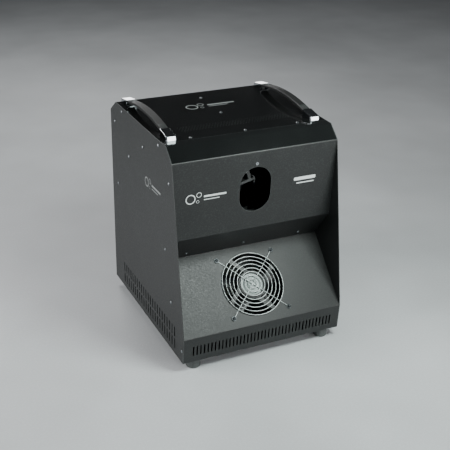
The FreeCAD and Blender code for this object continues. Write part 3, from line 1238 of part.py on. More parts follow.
def mains_inlet():
    """Appliance inlet: flanged housing, recess and three contact blades."""
    p = rear_point(INLET_X, INLET_DROP)
    flange = rounded_box(p.x - 25, p.x + 25, CASE_DEPTH, CASE_DEPTH + INLET_FLANGE, p.z - 13, p.z + 13, 5.0, "y")
    body = rounded_box(p.x - 14, p.x + 14, CASE_DEPTH - 26, CASE_DEPTH + 1, p.z - 10.5, p.z + 10.5, 2.0, "y")
    recess = box(p.x - 12.2, p.x + 12.2, CASE_DEPTH - 17, CASE_DEPTH + 4, p.z - 8.3, p.z + 8.3)
    xs = (p.x - 20, p.x + 20)
    holes = [rod(M4_HOLE, V(x, CASE_DEPTH - 1, p.z), V(x, CASE_DEPTH + 4, p.z)) for x in xs]
    shell = cut(fuse([flange, body]), [recess] + holes)
    blades = []
    for dx, dz in ((-7, -2), (0, 3), (7, -2)):
        blades.append(box(p.x + dx - 1, p.x + dx + 1, CASE_DEPTH - 32, CASE_DEPTH - 6, p.z + dz - 2, p.z + dz + 2))
    return fuse([shell] + blades)


def data_sockets():
    """Two round control sockets on square flanges."""
    solids = []
    for x in SOCKET_X:
        p = rear_point(x, SOCKET_DROP)
        flange = rounded_box(p.x - 15, p.x + 15, CASE_DEPTH, CASE_DEPTH + SOCKET_FLANGE, p.z - 15, p.z + 15, 3.0, "y")
        barrel = rod(10.8, V(p.x, CASE_DEPTH - 22, p.z), V(p.x, CASE_DEPTH + 3, p.z))
        well = rod(8.6, V(p.x, CASE_DEPTH - 18, p.z), V(p.x, CASE_DEPTH + 4, p.z))
        shell = fuse([flange, barrel]).cut(well)
        holes = [rod(M4_HOLE, p + V(s * 12, -1, -s * 12), p + V(s * 12, 3, -s * 12)) for s in (-1, 1)]
        pins = []
        for i in range(3):
            angle = math.radians(90 + 120 * i)
            tip = V(p.x + 4.5 * math.cos(angle), CASE_DEPTH - 8, p.z + 4.5 * math.sin(angle))
            pins.append(rod(1.2, V(tip.x, CASE_DEPTH - 26, tip.z), tip))
        solids.append(fuse([cut(shell, holes)] + pins))
    return group(solids)


def power_board():
    """Supply board on standoffs: heatsink with fins, transformer, capacitors and terminals."""
    x0, y0 = -HALF_WIDTH + 22, CASE_DEPTH - 200
    x1, y1 = x0 + 120, y0 + 140
    z = SHELF_TOP + 8
    parts = [box(x0, x1, y0, y1, z, z + 1.6)]
    parts += [rod(3, V(x, y, SHELF_TOP), V(x, y, z)) for x in (x0 + 5, x1 - 5) for y in (y0 + 5, y1 - 5)]
    z += 1.6
    parts.append(box(x0 + 6, x0 + 40, y0 + 14, y0 + 60, z, z + 6))
    parts += [box(x0 + 6 + i * 6, x0 + 8 + i * 6, y0 + 14, y0 + 60, z + 5, z + 26) for i in range(6)]
    parts.append(box(x0 + 58, x0 + 98, y0 + 18, y0 + 56, z, z + 34))
    parts += [rod(8, V(x0 + 20 + i * 22, y0 + 88, z), V(x0 + 20 + i * 22, y0 + 88, z + 30)) for i in range(3)]
    parts.append(box(x0 + 20, x0 + 100, y1 - 18, y1 - 6, z, z + 14))
    parts.append(box(x1 - 30, x1 - 12, y0 + 78, y0 + 98, z, z + 18))
    return fuse(parts)


# ---- fastener groups -----------------------------------------------------------------------
def side_fasteners(nuts):
    """All side-panel screws, or their nuts behind the flanges."""
    solids = []
    for side in (-1, 1):
        outward = V(side, 0, 0)
        for y, z in side_screw_places():
            if nuts:
                inner = FLANGE_HALF - (0.0 if has_flange(y, z) else -SHEET)
                solids.append(hex_nut(V(side * inner, y, z), outward * -1))
            else:
                solids.append(pan_screw(V(side * HALF_WIDTH, y, z), outward))
    return group(solids)


def has_flange(y, z):
    """Whether a folded flange lies behind the side panel at this place."""
    probe = V(FLANGE_HALF + SHEET / 2, y + M4_HOLE + 1.0, z)
    panels = (fan_panel, front_panel, roof_panel, rear_panel)
    return any(BUILT[panel.__name__].isInside(probe, 0.01, True) for panel in panels)


def cabinet_fasteners():
    """Pan-head screws of the roof seams, the roof's centreline, the soffit and the rear face."""
    up = V(0, 0, 1)
    solids = [pan_screw(p, up, 7.0) for p in roof_screws() + roof_centre_screws()]
    solids += [hex_nut(p - V(0, 0, SHEET), -up) for p in roof_centre_screws()]
    places, outward = soffit_screws()
    solids += [pan_screw(p, outward, 7.0) for p in places]
    back = V(0, 1, 0)
    seats = [INLET_FLANGE] * 2 + [SOCKET_FLANGE] * 4 + [0.0] * 2
    solids += [pan_screw(p + back * seat, back, seat + 7.0) for p, seat in zip(rear_screws(), seats)]
    return group(solids)


def outlet_screw():
    """Low socket-head screw above the outlet."""
    z = OPENING_HEIGHT_MID + OUTLET_SCREW_RISE
    along = unit((SOFFIT_FRONT, SOFFIT_TOP), (BROW_FRONT, CASE_HEIGHT - BROW_DROP))
    face = V(0, upper_panel_depth(z), z)
    outward = V(0, -along[1], along[0])
    head = rod(M4_HEAD, face, face + outward * 1.8)
    socket = rod(1.6, face + outward * 0.4, face + outward * 2)
    return fuse([head.cut(socket), rod(M4, face + outward * 0.1, face - outward * 7)])


# ---- build ---------------------------------------------------------------------------------
BUILT = {}


def export(name, shape):
    """Move a piece to the library frame, check it and write its file."""
    BUILT[name] = shape
    placed = shape.copy()
    placed.translate(V(0, -OVERALL_DEPTH / 2, FOOT_HEIGHT))
    if not placed.isValid() or not placed.Solids:
        raise ValueError(name + " is not a valid solid")
    placed.exportStep(os.path.join("parts", name + ".step"))
    size = placed.BoundBox
    print(f"{name:24s} solids {len(placed.Solids):3d}  volume {placed.Volume / 1000:9.2f} cm3  "
          f"x {size.XMin:7.1f} {size.XMax:7.1f}  y {size.YMin:7.1f} {size.YMax:7.1f}  z {size.ZMin:7.1f} {size.ZMax:7.1f}")


def build_cabinet():
    for make in (base_tray, fan_panel, front_panel, roof_panel, rear_panel, equipment_shelf):
        export(make.__name__, make())
    export("left_side_panel", side_panel(-1))
    export("right_side_panel", side_panel(1))
    for name, place in foot_places().items():
        export("foot_" + name, rubber_foot(place))
    export("foot_screws", foot_fasteners())
    export("side_panel_screws", side_fasteners(False))
    export("side_panel_nuts", side_fasteners(True))
    export("cabinet_screws", cabinet_fasteners())
    export("outlet_screw", outlet_screw())


def build_handles():
    for side, word in ((-1, "left"), (1, "right")):
        export("handle_grip_" + word, handle_grip(side))
        export("handle_caps_" + word, group([handle_cap(side, True), handle_cap(side, False)]))
    export("handle_screws", handle_screws())


def build_fan():
    for make in (fan_frame, fan_rotor, fan_guard, guard_screws):
        export(make.__name__, make())


def build_bubble_unit():
    for make in (bubble_wheel, wheel_motor, wheel_stand, bubble_trough, blower_housing, blower_impeller,
                 blower_motor, blower_bracket, bubble_hose):
        export(make.__name__, make())


def build_fog_unit():
    for make in (fog_heater, fog_pipe, fog_pump, fog_hose):
        export(make.__name__, make())
    for word, left in TANK_LEFTS.items():
        export(word + "_tank", tank(left))
        export(word + "_tank_cap", tank_cap(left))


def build_rear():
    export("service_door", service_door())
    export("door_hinge_fixed_leaf", hinge_leaf(False))
    export("door_hinge_moving_leaf", hinge_leaf(True))
    export("door_hinge_pin", hinge_pin())
    for make in (latch_knob, latch_cam, display_window, control_board, switch_frame, switch_rocker,
                 mains_inlet, data_sockets, power_board):
        export(make.__name__, make())
    for number, place in enumerate(button_places(), 1):
        export(f"control_button_{number}", control_button(place))


os.makedirs("parts", exist_ok=True)
build_cabinet()
build_handles()
build_fan()
build_bubble_unit()
build_fog_unit()
build_rear()
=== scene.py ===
"""Looks of a combined bubble and fog machine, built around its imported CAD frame."""
import json
import logging
import math
from dataclasses import dataclass, field, replace
from enum import Enum
from typing import Any, Dict, List, Optional, Sequence, Tuple

import bmesh
import bpy
from mathutils import Matrix, Vector
from mathutils.bvhtree import BVHTree


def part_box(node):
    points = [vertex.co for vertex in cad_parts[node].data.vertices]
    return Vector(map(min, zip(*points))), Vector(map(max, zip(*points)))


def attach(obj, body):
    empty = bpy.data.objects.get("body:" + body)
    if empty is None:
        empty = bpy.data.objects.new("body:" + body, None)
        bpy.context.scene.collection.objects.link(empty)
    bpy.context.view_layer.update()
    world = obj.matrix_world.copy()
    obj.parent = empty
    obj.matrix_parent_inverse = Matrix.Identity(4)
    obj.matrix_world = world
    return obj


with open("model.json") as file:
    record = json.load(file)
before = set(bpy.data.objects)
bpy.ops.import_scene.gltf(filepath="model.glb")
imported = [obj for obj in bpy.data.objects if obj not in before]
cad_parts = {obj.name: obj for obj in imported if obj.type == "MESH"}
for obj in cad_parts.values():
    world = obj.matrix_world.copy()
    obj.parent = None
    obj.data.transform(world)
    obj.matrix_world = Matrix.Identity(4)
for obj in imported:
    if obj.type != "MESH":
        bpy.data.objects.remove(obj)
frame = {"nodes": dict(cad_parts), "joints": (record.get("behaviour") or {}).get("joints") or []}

LOG = logging.getLogger("fog_machine")
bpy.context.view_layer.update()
MM = 0.001
ACROSS = Vector((1.0, 0.0, 0.0))
BUMP_STRENGTH = 0.6
COAT_ROUGHNESS = 0.12


# ---- finishes ------------------------------------------------------------------------------
def linear(hex_colour: str) -> Tuple[float, float, float, float]:
    """Turn an sRGB hex colour into the linear RGBA that sockets take.

    Args:
        hex_colour: Colour such as "#1b1d1d".

    Returns:
        Linear red, green, blue and an alpha of 1.
    """
    values = [int(hex_colour[i:i + 2], 16) / 255 for i in (1, 3, 5)]
    red, green, blue = [v / 12.92 if v <= 0.04045 else ((v + 0.055) / 1.055) ** 2.4 for v in values]
    return red, green, blue, 1.0


def per_mm(size_mm: float) -> float:
    """Texture scale on Object coordinates for a feature of this size in millimetres."""
    return 1.0 / (size_mm * MM)


def add_node(tree: bpy.types.NodeTree, kind: str, settings: Optional[Dict[str, Any]] = None,
             links: Optional[Dict[str, bpy.types.NodeSocket]] = None) -> bpy.types.Node:
    """Add one node, set its properties and socket values, and link its inputs.

    Args:
        tree: Node tree that gets the node.
        kind: Node type without its "ShaderNode" prefix.
        settings: Property or input names with their values; an int key is an input's place.
        links: Input names or places with the output socket that feeds each.

    Returns:
        The new node.
    """
    node = tree.nodes.new("ShaderNode" + kind)
    for name, value in (settings or {}).items():
        if isinstance(name, str) and hasattr(node, name):
            setattr(node, name, value)
        else:
            node.inputs[name].default_value = value
    for name, socket in (links or {}).items():
        tree.links.new(socket, node.inputs[name])
    return node


class Grain(Enum):
    """Directions that a drawn or brushed surface can run in, as noise stretch along X, Y, Z."""

    EVEN = (1.0, 1.0, 1.0)
    ALONG_Y = (1.0, 0.04, 1.0)
    ALONG_Z = (1.0, 1.0, 0.04)


@dataclass(frozen=True)
class Finish:
    """A surface with fine grain in its colour, roughness and relief, and pale edges: rubbed wear on some finishes,
    a painted highlight on others.

    Attributes:
        name: Material name, after what the real surface is.
        colour: Base colour, sRGB hex.
        speck: Colour of the grain's high spots, sRGB hex.
        grain_mm: Size of the grain that shows.
        grain: Direction in which the grain is drawn out.
        roughness: Lowest and highest roughness over the grain.
        relief_mm: Height of the grain's bumps.
        patch_mm: Size of the slow patches of handling and dust.
        patch: How strongly the patches change the roughness.
        metallic: 1 for bare metal.
        ior: Index of refraction; a metal keeps the default.
        edge: Colour of the pale edges, sRGB hex: rubbed wear on some finishes, a painted highlight on others.
        edge_wear_and_highlight: How strongly the edges are paled, by wear and painted highlight.
        edge_mm: How wide the pale edges are.
        coat: Weight of a clear coat.
        transmission: Share of light that passes into the material.
        subsurface: Share of light that scatters inside the material.
    """

    name: str
    colour: str
    speck: str
    grain_mm: float = 1.0
    grain: Grain = Grain.EVEN
    roughness: Tuple[float, float] = (0.4, 0.55)
    relief_mm: float = 0.05
    patch_mm: float = 90.0
    patch: float = 0.06
    metallic: float = 0.0
    ior: float = 1.5
    edge: str = "#8b8e8e"
    edge_wear_and_highlight: float = 0.25
    edge_mm: float = 1.0
    coat: float = 0.0
    transmission: float = 0.0
    subsurface: float = 0.0

    def build(self) -> bpy.types.Material:
        """Make the material.

        Returns:
            The new material.
        """
        material = bpy.data.materials.new(self.name)
        material.use_nodes = True
        tree = material.node_tree
        tree.nodes.clear()
        place = add_node(tree, "TexCoord").outputs["Object"]
        stretched = add_node(tree, "Mapping", {"Scale": self.grain.value}, {"Vector": place}).outputs[0]
        grain = self.grain_mask(tree, stretched)
        patches = add_node(tree, "TexNoise", {"Scale": per_mm(self.patch_mm), "Detail": 3.0, "Roughness": 0.6},
                           {"Vector": place}).outputs[0]
        colour = self.colour_of(tree, place, grain, patches)
        # Pale edges: rubbed wear, and on some finishes a painted highlight.
        pale_edges = self.edge_wear_and_highlight_mask(tree, patches, grain)
        colour = add_node(tree, "MixRGB", {"Color2": linear(self.edge)},
                          {"Fac": pale_edges, "Color1": colour}).outputs[0]
        rough = self.roughness_of(tree, grain, patches)
        bump = add_node(tree, "Bump", {"Strength": BUMP_STRENGTH, "Distance": self.relief_mm * MM},
                        {"Height": grain})
        settings = {"Metallic": self.metallic, "Coat Weight": self.coat, "Coat Roughness": COAT_ROUGHNESS,
                    "Transmission Weight": self.transmission, "Subsurface Weight": self.subsurface}
        if self.metallic < 1.0:
            settings["IOR"] = self.ior
        links = {"Base Color": colour, "Roughness": rough, "Normal": bump.outputs[0]}
        shader = add_node(tree, "BsdfPrincipled", settings, links)
        add_node(tree, "OutputMaterial", links={"Surface": shader.outputs[0]})
        material.diffuse_color = linear(self.colour)
        return material

    def grain_mask(self, tree: bpy.types.NodeTree, place: bpy.types.NodeSocket) -> bpy.types.NodeSocket:
        """Grain from 0 to 1.

        Args:
            tree: Node tree of the material.
            place: Coordinates, already stretched along the grain.

        Returns:
            Socket with the grain's height.
        """
        noise = add_node(tree, "TexNoise", {"Scale": per_mm(self.grain_mm), "Detail": 2.5, "Roughness": 0.65},
                         {"Vector": place}).outputs[0]
        spread = {"From Min": 0.3, "From Max": 0.7}
        return add_node(tree, "MapRange", spread, {"Value": noise}).outputs[0]

    def colour_of(self, tree: bpy.types.NodeTree, place: bpy.types.NodeSocket, grain: bpy.types.NodeSocket,
                  patches: bpy.types.NodeSocket) -> bpy.types.NodeSocket:
        """Colour with specks on the grain's high spots and slow tonal patches.

        Args:
            tree: Node tree of the material.
            place: Object coordinates.
            grain: Grain height.
            patches: Slow noise.

        Returns:
            Socket with the colour.
        """
        high = add_node(tree, "MapRange", {"From Min": 0.45, "From Max": 1.0}, {"Value": grain}).outputs[0]
        both = {"Color1": linear(self.colour), "Color2": linear(self.speck)}
        specks = add_node(tree, "MixRGB", both, {"Fac": high})
        shade = add_node(tree, "MapRange", {"From Min": 0.3, "From Max": 0.7, "To Min": 0.88, "To Max": 1.1},
                         {"Value": patches}).outputs[0]
        return add_node(tree, "MixRGB", {"blend_type": "MULTIPLY", "Fac": 1.0},
                        {"Color1": specks.outputs[0], "Color2": shade}).outputs[0]

    def roughness_of(self, tree: bpy.types.NodeTree, grain: bpy.types.NodeSocket,
                     patches: bpy.types.NodeSocket) -> bpy.types.NodeSocket:
        """Roughness that follows the grain, plus slow patches of handling.

        Args:
            tree: Node tree of the material.
            grain: Grain height.
            patches: Slow noise.

        Returns:
            Socket with the roughness.
        """
        low, high = self.roughness
        fine = add_node(tree, "MapRange", {"To Min": low, "To Max": high}, {"Value": grain}).outputs[0]
        slow = add_node(tree, "MapRange", {"From Min": 0.3, "From Max": 0.7, "To Min": -self.patch,
                                           "To Max": self.patch}, {"Value": patches}).outputs[0]
        return add_node(tree, "Math", {"operation": "ADD", "use_clamp": True}, {0: fine, 1: slow}).outputs[0]

    def edge_wear_and_highlight_mask(self, tree: bpy.types.NodeTree, patches: bpy.types.NodeSocket,
                  grain: bpy.types.NodeSocket) -> bpy.types.NodeSocket:
        """Mask of pale edges, rubbed wear on some finishes and a painted highlight on others: where the bevelled
        normal leaves the true one, broken up by noise.

        Args:
            tree: Node tree of the material.
            patches: Slow noise.
            grain: Grain height.

        Returns:
            Socket with the mask, 0 to 1.
        """
        soft = add_node(tree, "Bevel", {"samples": 4, "Radius": self.edge_mm * MM}).outputs[0]
        true = add_node(tree, "NewGeometry").outputs["Normal"]
        match = add_node(tree, "VectorMath", {"operation": "DOT_PRODUCT"}, {0: soft, 1: true}).outputs["Value"]
        edge = add_node(tree, "MapRange", {"From Min": 0.99, "From Max": 0.88, "To Max": self.edge_wear_and_highlight},
                        {"Value": match}).outputs[0]
        broken = add_node(tree, "Math", {"operation": "MULTIPLY"}, {0: edge, 1: patches}).outputs[0]
        grain_breakup = add_node(tree, "Math", {"operation": "ADD", 1: 0.6}, {0: grain}).outputs[0]
        return add_node(tree, "Math", {"operation": "MULTIPLY", "use_clamp": True},
                        {0: broken, 1: grain_breakup}).outputs[0]


@dataclass(frozen=True)
class SpangledZinc(Finish):
    """Zinc-plated steel sheet: crystals a few millimetres across that differ in brightness."""

    spangle_mm: float = 5.0

    def grain_mask(self, tree: bpy.types.NodeTree, place: bpy.types.NodeSocket) -> bpy.types.NodeSocket:
        """Flat-faced crystals from a cell pattern, as heights.

        Args:
            tree: Node tree of the material.
            place: Object coordinates.

        Returns:
            Socket with the crystals' brightness.
        """
        cells = add_node(tree, "TexVoronoi", {"Scale": per_mm(self.spangle_mm)}, {"Vector": place})
        return add_node(tree, "SeparateColor", links={"Color": cells.outputs["Color"]}).outputs[0]


@dataclass(frozen=True)
class CircuitBoard(Finish):
    """Green solder mask with a fine track pattern; everything that stands on it is dark.

    Attributes:
        track_mm: Spacing of the tracks.
        axis: Index of the Object axis that points off the board.
        face: Place of the board's face on that axis, in metres.
        part_colour: Colour of the parts on the board, sRGB hex.
        mask_mm: Height above the face where the parts start.
        mortar: Colour of the gaps between tracks, sRGB hex.
    """

    track_mm: float = 2.54
    axis: int = 2
    face: float = 0.0
    part_colour: str = "#191b1d"
    mask_mm: float = 0.3
    mortar: str = "#0b3a20"

    def colour_of(self, tree: bpy.types.NodeTree, place: bpy.types.NodeSocket, grain: bpy.types.NodeSocket,
                  patches: bpy.types.NodeSocket) -> bpy.types.NodeSocket:
        """Tracks on the board, dark parts above its face.

        Args:
            tree: Node tree of the material.
            place: Object coordinates.
            grain: Grain height.
            patches: Slow noise.

        Returns:
            Socket with the colour.
        """
        turned = add_node(tree, "Mapping", {"Rotation": (math.pi / 2 if self.axis == 1 else 0.0, 0.0, 0.0)},
                          {"Vector": place}).outputs[0]
        tracks = add_node(tree, "TexBrick", {"Color1": linear(self.colour), "Color2": linear(self.speck),
                                             "Mortar": linear(self.mortar), "Scale": 1.0,
                                             "Brick Width": 4 * self.track_mm * MM,
                                             "Row Height": self.track_mm * MM,
                                             "Mortar Size": 0.16 * self.track_mm * MM}, {"Vector": turned})
        axes = add_node(tree, "SeparateXYZ", links={"Vector": place}).outputs[self.axis]
        skin = self.face + self.mask_mm * MM
        above = add_node(tree, "Math", {"operation": "GREATER_THAN", 1: skin}, {0: axes}).outputs[0]
        return add_node(tree, "MixRGB", {"Color2": linear(self.part_colour)},
                        {"Fac": above, "Color1": tracks.outputs["Color"]}).outputs[0]


@dataclass(frozen=True)
class GlossAbove(Finish):
    """Powder coat that is wiped smooth and glossy above a height.

    Attributes:
        height: Height above which the coat is smooth, in metres.
        smooth: Roughness of the smooth part.
    """

    height: float = 0.5
    smooth: float = 0.13

    def above(self, tree: bpy.types.NodeTree) -> bpy.types.NodeSocket:
        """Mask that is 1 above the height.

        Args:
            tree: Node tree of the material.

        Returns:
            Socket with the mask.
        """
        place = add_node(tree, "TexCoord").outputs["Object"]
        up = add_node(tree, "SeparateXYZ", links={"Vector": place}).outputs[2]
        ends = {"From Min": self.height, "From Max": self.height + 1.5 * MM}
        return add_node(tree, "MapRange", ends, {"Value": up}).outputs[0]

    def grain_mask(self, tree: bpy.types.NodeTree, place: bpy.types.NodeSocket) -> bpy.types.NodeSocket:
        """Grain that fades out above the height.

        Args:
            tree: Node tree of the material.
            place: Object coordinates.

        Returns:
            Socket with the grain's height.
        """
        grain = super().grain_mask(tree, place)
        fade = add_node(tree, "MapRange", {"To Min": 1.0, "To Max": 0.15},
                        {"Value": self.above(tree)}).outputs[0]
        return add_node(tree, "Math", {"operation": "MULTIPLY"}, {0: grain, 1: fade}).outputs[0]

    def roughness_of(self, tree: bpy.types.NodeTree, grain: bpy.types.NodeSocket,
                     patches: bpy.types.NodeSocket) -> bpy.types.NodeSocket:
        """The coat's roughness, low above the height.

        Args:
            tree: Node tree of the material.
            grain: Grain height.
            patches: Slow noise.

        Returns:
            Socket with the roughness.
        """
        rough = super().roughness_of(tree, grain, patches)
        return add_node(tree, "MixRGB", {"Color2": (self.smooth, self.smooth, self.smooth, 1.0)},
                        {"Fac": self.above(tree), "Color1": rough}).outputs[0]


@dataclass(frozen=True)
class HeatTinted(Finish):
    """Bare metal that has gone straw and blue towards its hot end.

    Attributes:
        hot_y: Place of the hot end along Y, in metres.
        reach: How far the tint spreads, in metres.
        tints: Colours from the hot end, each with its place from 0 to 1, sRGB hex.
    """

    hot_y: float = 0.0
    reach: float = 0.06
    tints: Tuple[Tuple[float, str], ...] = ((0.0, "#5d6478"), (0.35, "#8a7360"), (0.7, "#a9a295"))

    def colour_of(self, tree: bpy.types.NodeTree, place: bpy.types.NodeSocket, grain: bpy.types.NodeSocket,
                  patches: bpy.types.NodeSocket) -> bpy.types.NodeSocket:
        """Tint by distance from the hot end.

        Args:
            tree: Node tree of the material.
            place: Object coordinates.
            grain: Grain height.
            patches: Slow noise.

        Returns:
            Socket with the colour.
        """
        along = add_node(tree, "SeparateXYZ", links={"Vector": place}).outputs[1]
        cool = add_node(tree, "MapRange", {"From Min": self.hot_y, "From Max": self.hot_y + self.reach},
                        {"Value": along}).outputs[0]
        ramp = add_node(tree, "ValToRGB", links={"Fac": cool})
        for i, (at, colour) in enumerate((*self.tints, (1.0, self.colour))):
            stop = ramp.color_ramp.elements[i] if i < 2 else ramp.color_ramp.elements.new(at)
            stop.position = at
            stop.color = linear(colour)
        high = add_node(tree, "MapRange", {"To Min": 0.8, "To Max": 1.0}, {"Value": grain}).outputs[0]
        return add_node(tree, "MixRGB", {"blend_type": "MULTIPLY", "Fac": 1.0},
                        {"Color1": ramp.outputs[0], "Color2": high}).outputs[0]


# Polyester powder coat, fine texture: tiny pits and bumps that scatter a broad soft sheen. The
# real bumps are 0.3 mm apart; they are drawn coarser, because at that size they would not show.
POWDER = Finish("powder_coated_steel", "#171919", "#303332", grain_mm=2.8, roughness=(0.34, 0.56),
                relief_mm=0.2, patch=0.02, edge="#7d8180", edge_wear_and_highlight=0.5, edge_mm=1.5)
# The roof sheet is wiped often, so its coat is smoother and mirrors what stands above it.
POWDER_ROOF = Finish("powder_coated_roof", "#0e0f0f", "#141515", grain_mm=2.6, roughness=(0.1, 0.16),
                     relief_mm=0.02, patch=0.02, ior=1.45, edge="#7d8180", edge_wear_and_highlight=0.3, edge_mm=1.0)
# The front panel's coat: textured on the upright face, wiped smooth from the brow upwards.
POWDER_FRONT = GlossAbove("powder_coated_front", "#171919", "#303332", grain_mm=3.2, roughness=(0.34, 0.56),
                          relief_mm=0.16, patch=0.02, edge="#8d9190", edge_wear_and_highlight=0.7, edge_mm=1.5, smooth=0.1)
# Bright nickel-chrome plate on steel: mirror with faint wiping marks.
CHROME = Finish("bright_chrome_plate", "#a9aeb1", "#bcc1c4", grain_mm=3.0, roughness=(0.05, 0.12),
                relief_mm=0.01, metallic=1.0, edge="#f2f3f3", edge_wear_and_highlight=0.2)
# Chromed wire, dulled by handling: an even silvery grey.
CHROME_WIRE = Finish("chromed_wire", "#b0b6b5", "#c6cbca", grain_mm=2.0, roughness=(0.34, 0.44),
                     relief_mm=0.02, metallic=1.0, edge_wear_and_highlight=0.0)
# Zinc-plated inner sheet: faint crystals, each a little lighter or darker.
ZINC_SHEET = SpangledZinc("zinc_plated_sheet", "#8e9496", "#b3b8ba", roughness=(0.3, 0.48), relief_mm=0.01,
                          metallic=1.0, edge="#c8cccd")
# Bright zinc on small turned parts: satin grey.
ZINC_STEEL = Finish("zinc_plated_fastener", "#a4a8a6", "#c9cbc7", grain_mm=0.8, roughness=(0.28, 0.42),
                    relief_mm=0.02, metallic=1.0)
# Black-passivated zinc, coloured mid grey as a painted highlight so that the domes show bright: satin domes with a
# soft highlight.
BLACK_ZINC = Finish("black_zinc_fastener", "#8a8e91", "#a0a4a7", grain_mm=0.6, roughness=(0.28, 0.42),
                    relief_mm=0.02, metallic=1.0, edge="#a7abad", edge_wear_and_highlight=0.7, edge_mm=0.5)
# The guard's screws are darker, a painted reflection of dark surroundings, so that the bright eyelets ring them.
DARK_REFLECTION_ZINC = replace(BLACK_ZINC, name="black_zinc_painted_dark_reflection", colour="#2f3234", speck="#404345")
# Deep-drawn motor can: lengthwise draw marks under thin plating.
DRAWN_CAN = Finish("drawn_steel_can", "#8f9495", "#b4b8b9", grain_mm=0.7, grain=Grain.ALONG_Y,
                   roughness=(0.22, 0.4), relief_mm=0.02, metallic=1.0)
# Moulded rubber strap: near-black, with a satin sheen along its length.
STRAP = Finish("moulded_strap_rubber", "#161717", "#232424", grain_mm=1.2, grain=Grain.ALONG_Y,
               roughness=(0.42, 0.58), relief_mm=0.08, edge="#3b3d3d")
# The same rubber on the ribbed pads, coloured a lighter dark grey with paler rib edges.
STRAP_RIB = Finish("lighter_strap_rib", "#2e3030", "#404241", grain_mm=1.0, roughness=(0.36, 0.5),
                   relief_mm=0.04, edge="#5d6060", edge_wear_and_highlight=0.8, edge_mm=0.4)
# Moulded rubber, matt grey: painted lighter to stand in for the light that the shaded feet miss.
FOOT_RUBBER = Finish("foot_rubber", "#4a4e4d", "#666a68", grain_mm=1.5, roughness=(0.65, 0.85),
                     relief_mm=0.12, edge="#4a4a47", edge_wear_and_highlight=0.5, edge_mm=2.0)
# Glass-filled nylon mouldings: satin skin with a spark-eroded texture.
BLACK_NYLON = Finish("black_moulded_nylon", "#17181a", "#26282a", grain_mm=0.9, roughness=(0.38, 0.55),
                     relief_mm=0.06, edge="#3e4042", edge_mm=0.6)
# Thin moulded blades: satin black faces, with pale edges that are a painted highlight.
FAN_NYLON = Finish("fan_blade_nylon", "#141617", "#222426", grain_mm=1.5, roughness=(0.28, 0.42),
                   relief_mm=0.05, patch_mm=30.0, patch=0.1, edge="#9aa09f", edge_wear_and_highlight=1.0, edge_mm=1.3)
# Painted casting: satin black over an as-cast skin, with pale edges that are a painted highlight.
PAINTED_CASTING = Finish("painted_fan_casting", "#1b1d1d", "#2c2f2e", grain_mm=1.4, roughness=(0.32, 0.48),
                         relief_mm=0.08, patch_mm=25.0, edge="#a3a9a8", edge_wear_and_highlight=0.9, edge_mm=1.1)
# Moulded acetal, wet-looking: dark grey, with light edges that are a painted highlight.
WAND_ACETAL = Finish("wand_acetal", "#3c403f", "#4b4f4e", grain_mm=1.2, roughness=(0.24, 0.38),
                     relief_mm=0.03, edge="#a9aeac", edge_wear_and_highlight=1.0, edge_mm=0.9, coat=0.2)
# Plain moulded ABS: even charcoal with a dull skin.
TROUGH_ABS = Finish("trough_abs", "#26282a", "#35383a", grain_mm=1.0, roughness=(0.4, 0.55), relief_mm=0.05)
# Blow-moulded polyethylene: milky, waxy and slightly uneven.
TANK_HDPE = Finish("blow_moulded_polyethylene", "#cfcdc0", "#dedccf", grain_mm=4.0, roughness=(0.34, 0.48),
                   relief_mm=0.12, patch_mm=40.0, ior=1.54, edge="#e6e4d8", transmission=0.25, subsurface=0.1)
# Extruded clear PVC: pale and half see-through.
HOSE_PVC = Finish("clear_pvc_hose", "#b9c1bf", "#cdd4d1", grain_mm=3.0, roughness=(0.15, 0.28),
                  relief_mm=0.03, ior=1.53, edge_wear_and_highlight=0.0, transmission=0.35)
# Moulded polypropylene cap: deep red, satin, pale at the ribs.
CAP_RED = Finish("red_polypropylene_cap", "#8f1b16", "#a52a22", grain_mm=1.2, roughness=(0.32, 0.46),
                 relief_mm=0.05, edge="#b54a40")
# Polished moulded rocker: clear glossy red.
ROCKER_RED = Finish("red_rocker_polycarbonate", "#8a1512", "#9c201b", grain_mm=1.0, roughness=(0.18, 0.28),
                    relief_mm=0.02, coat=0.3, edge="#b5433b")
# Dark tinted acrylic window: black mirror with fine wiping marks.
DISPLAY_ACRYLIC = Finish("tinted_display_acrylic", "#0b0e10", "#101417", grain_mm=6.0, roughness=(0.06, 0.12),
                         relief_mm=0.01, ior=1.49, edge="#2c3236", coat=0.4)
# Drawn brass tube, straw and blue where it leaves the heater.
BRASS_TUBE = HeatTinted("drawn_brass_tube", "#a88a52", "#bfa269", grain_mm=0.8, grain=Grain.ALONG_Z,
                        roughness=(0.2, 0.36), relief_mm=0.02, metallic=1.0)
# Screen-printed ink: a flat, slightly chalky film with pinholes.
PRINT_INK = Finish("screen_print_ink", "#e2e6e5", "#f0f3f2", grain_mm=1.4, roughness=(0.45, 0.6),
                   relief_mm=0.03, edge_wear_and_highlight=0.0)
# The same ink painted grey on roof and side: a painted-shade copy of the front print's ink.
PRINT_INK_SHADED = replace(PRINT_INK, name="screen_print_ink_painted_shade", colour="#8d9190", speck="#a0a4a3")
# Blank embossed foil label: dull silver with a rubbed rim.
LABEL_FOIL = Finish("blank_foil_label", "#6a7270", "#818987", grain_mm=1.6, roughness=(0.3, 0.42),
                    relief_mm=0.02, metallic=0.4, edge="#c3c8c7")
# Both fluids are nearly clear; the fog fluid is faintly bluer.
BUBBLE_FLUID = Finish("bubble_fluid", "#b7c9cc", "#c4d4d6", grain_mm=8.0, roughness=(0.03, 0.06),
                      relief_mm=0.02, ior=1.34, edge_wear_and_highlight=0.0, transmission=0.9)
FOG_FLUID = Finish("fog_fluid", "#b9c4d9", "#c4cee0", grain_mm=8.0, roughness=(0.03, 0.06), relief_mm=0.02,
                   ior=1.4, edge_wear_and_highlight=0.0, transmission=0.9)
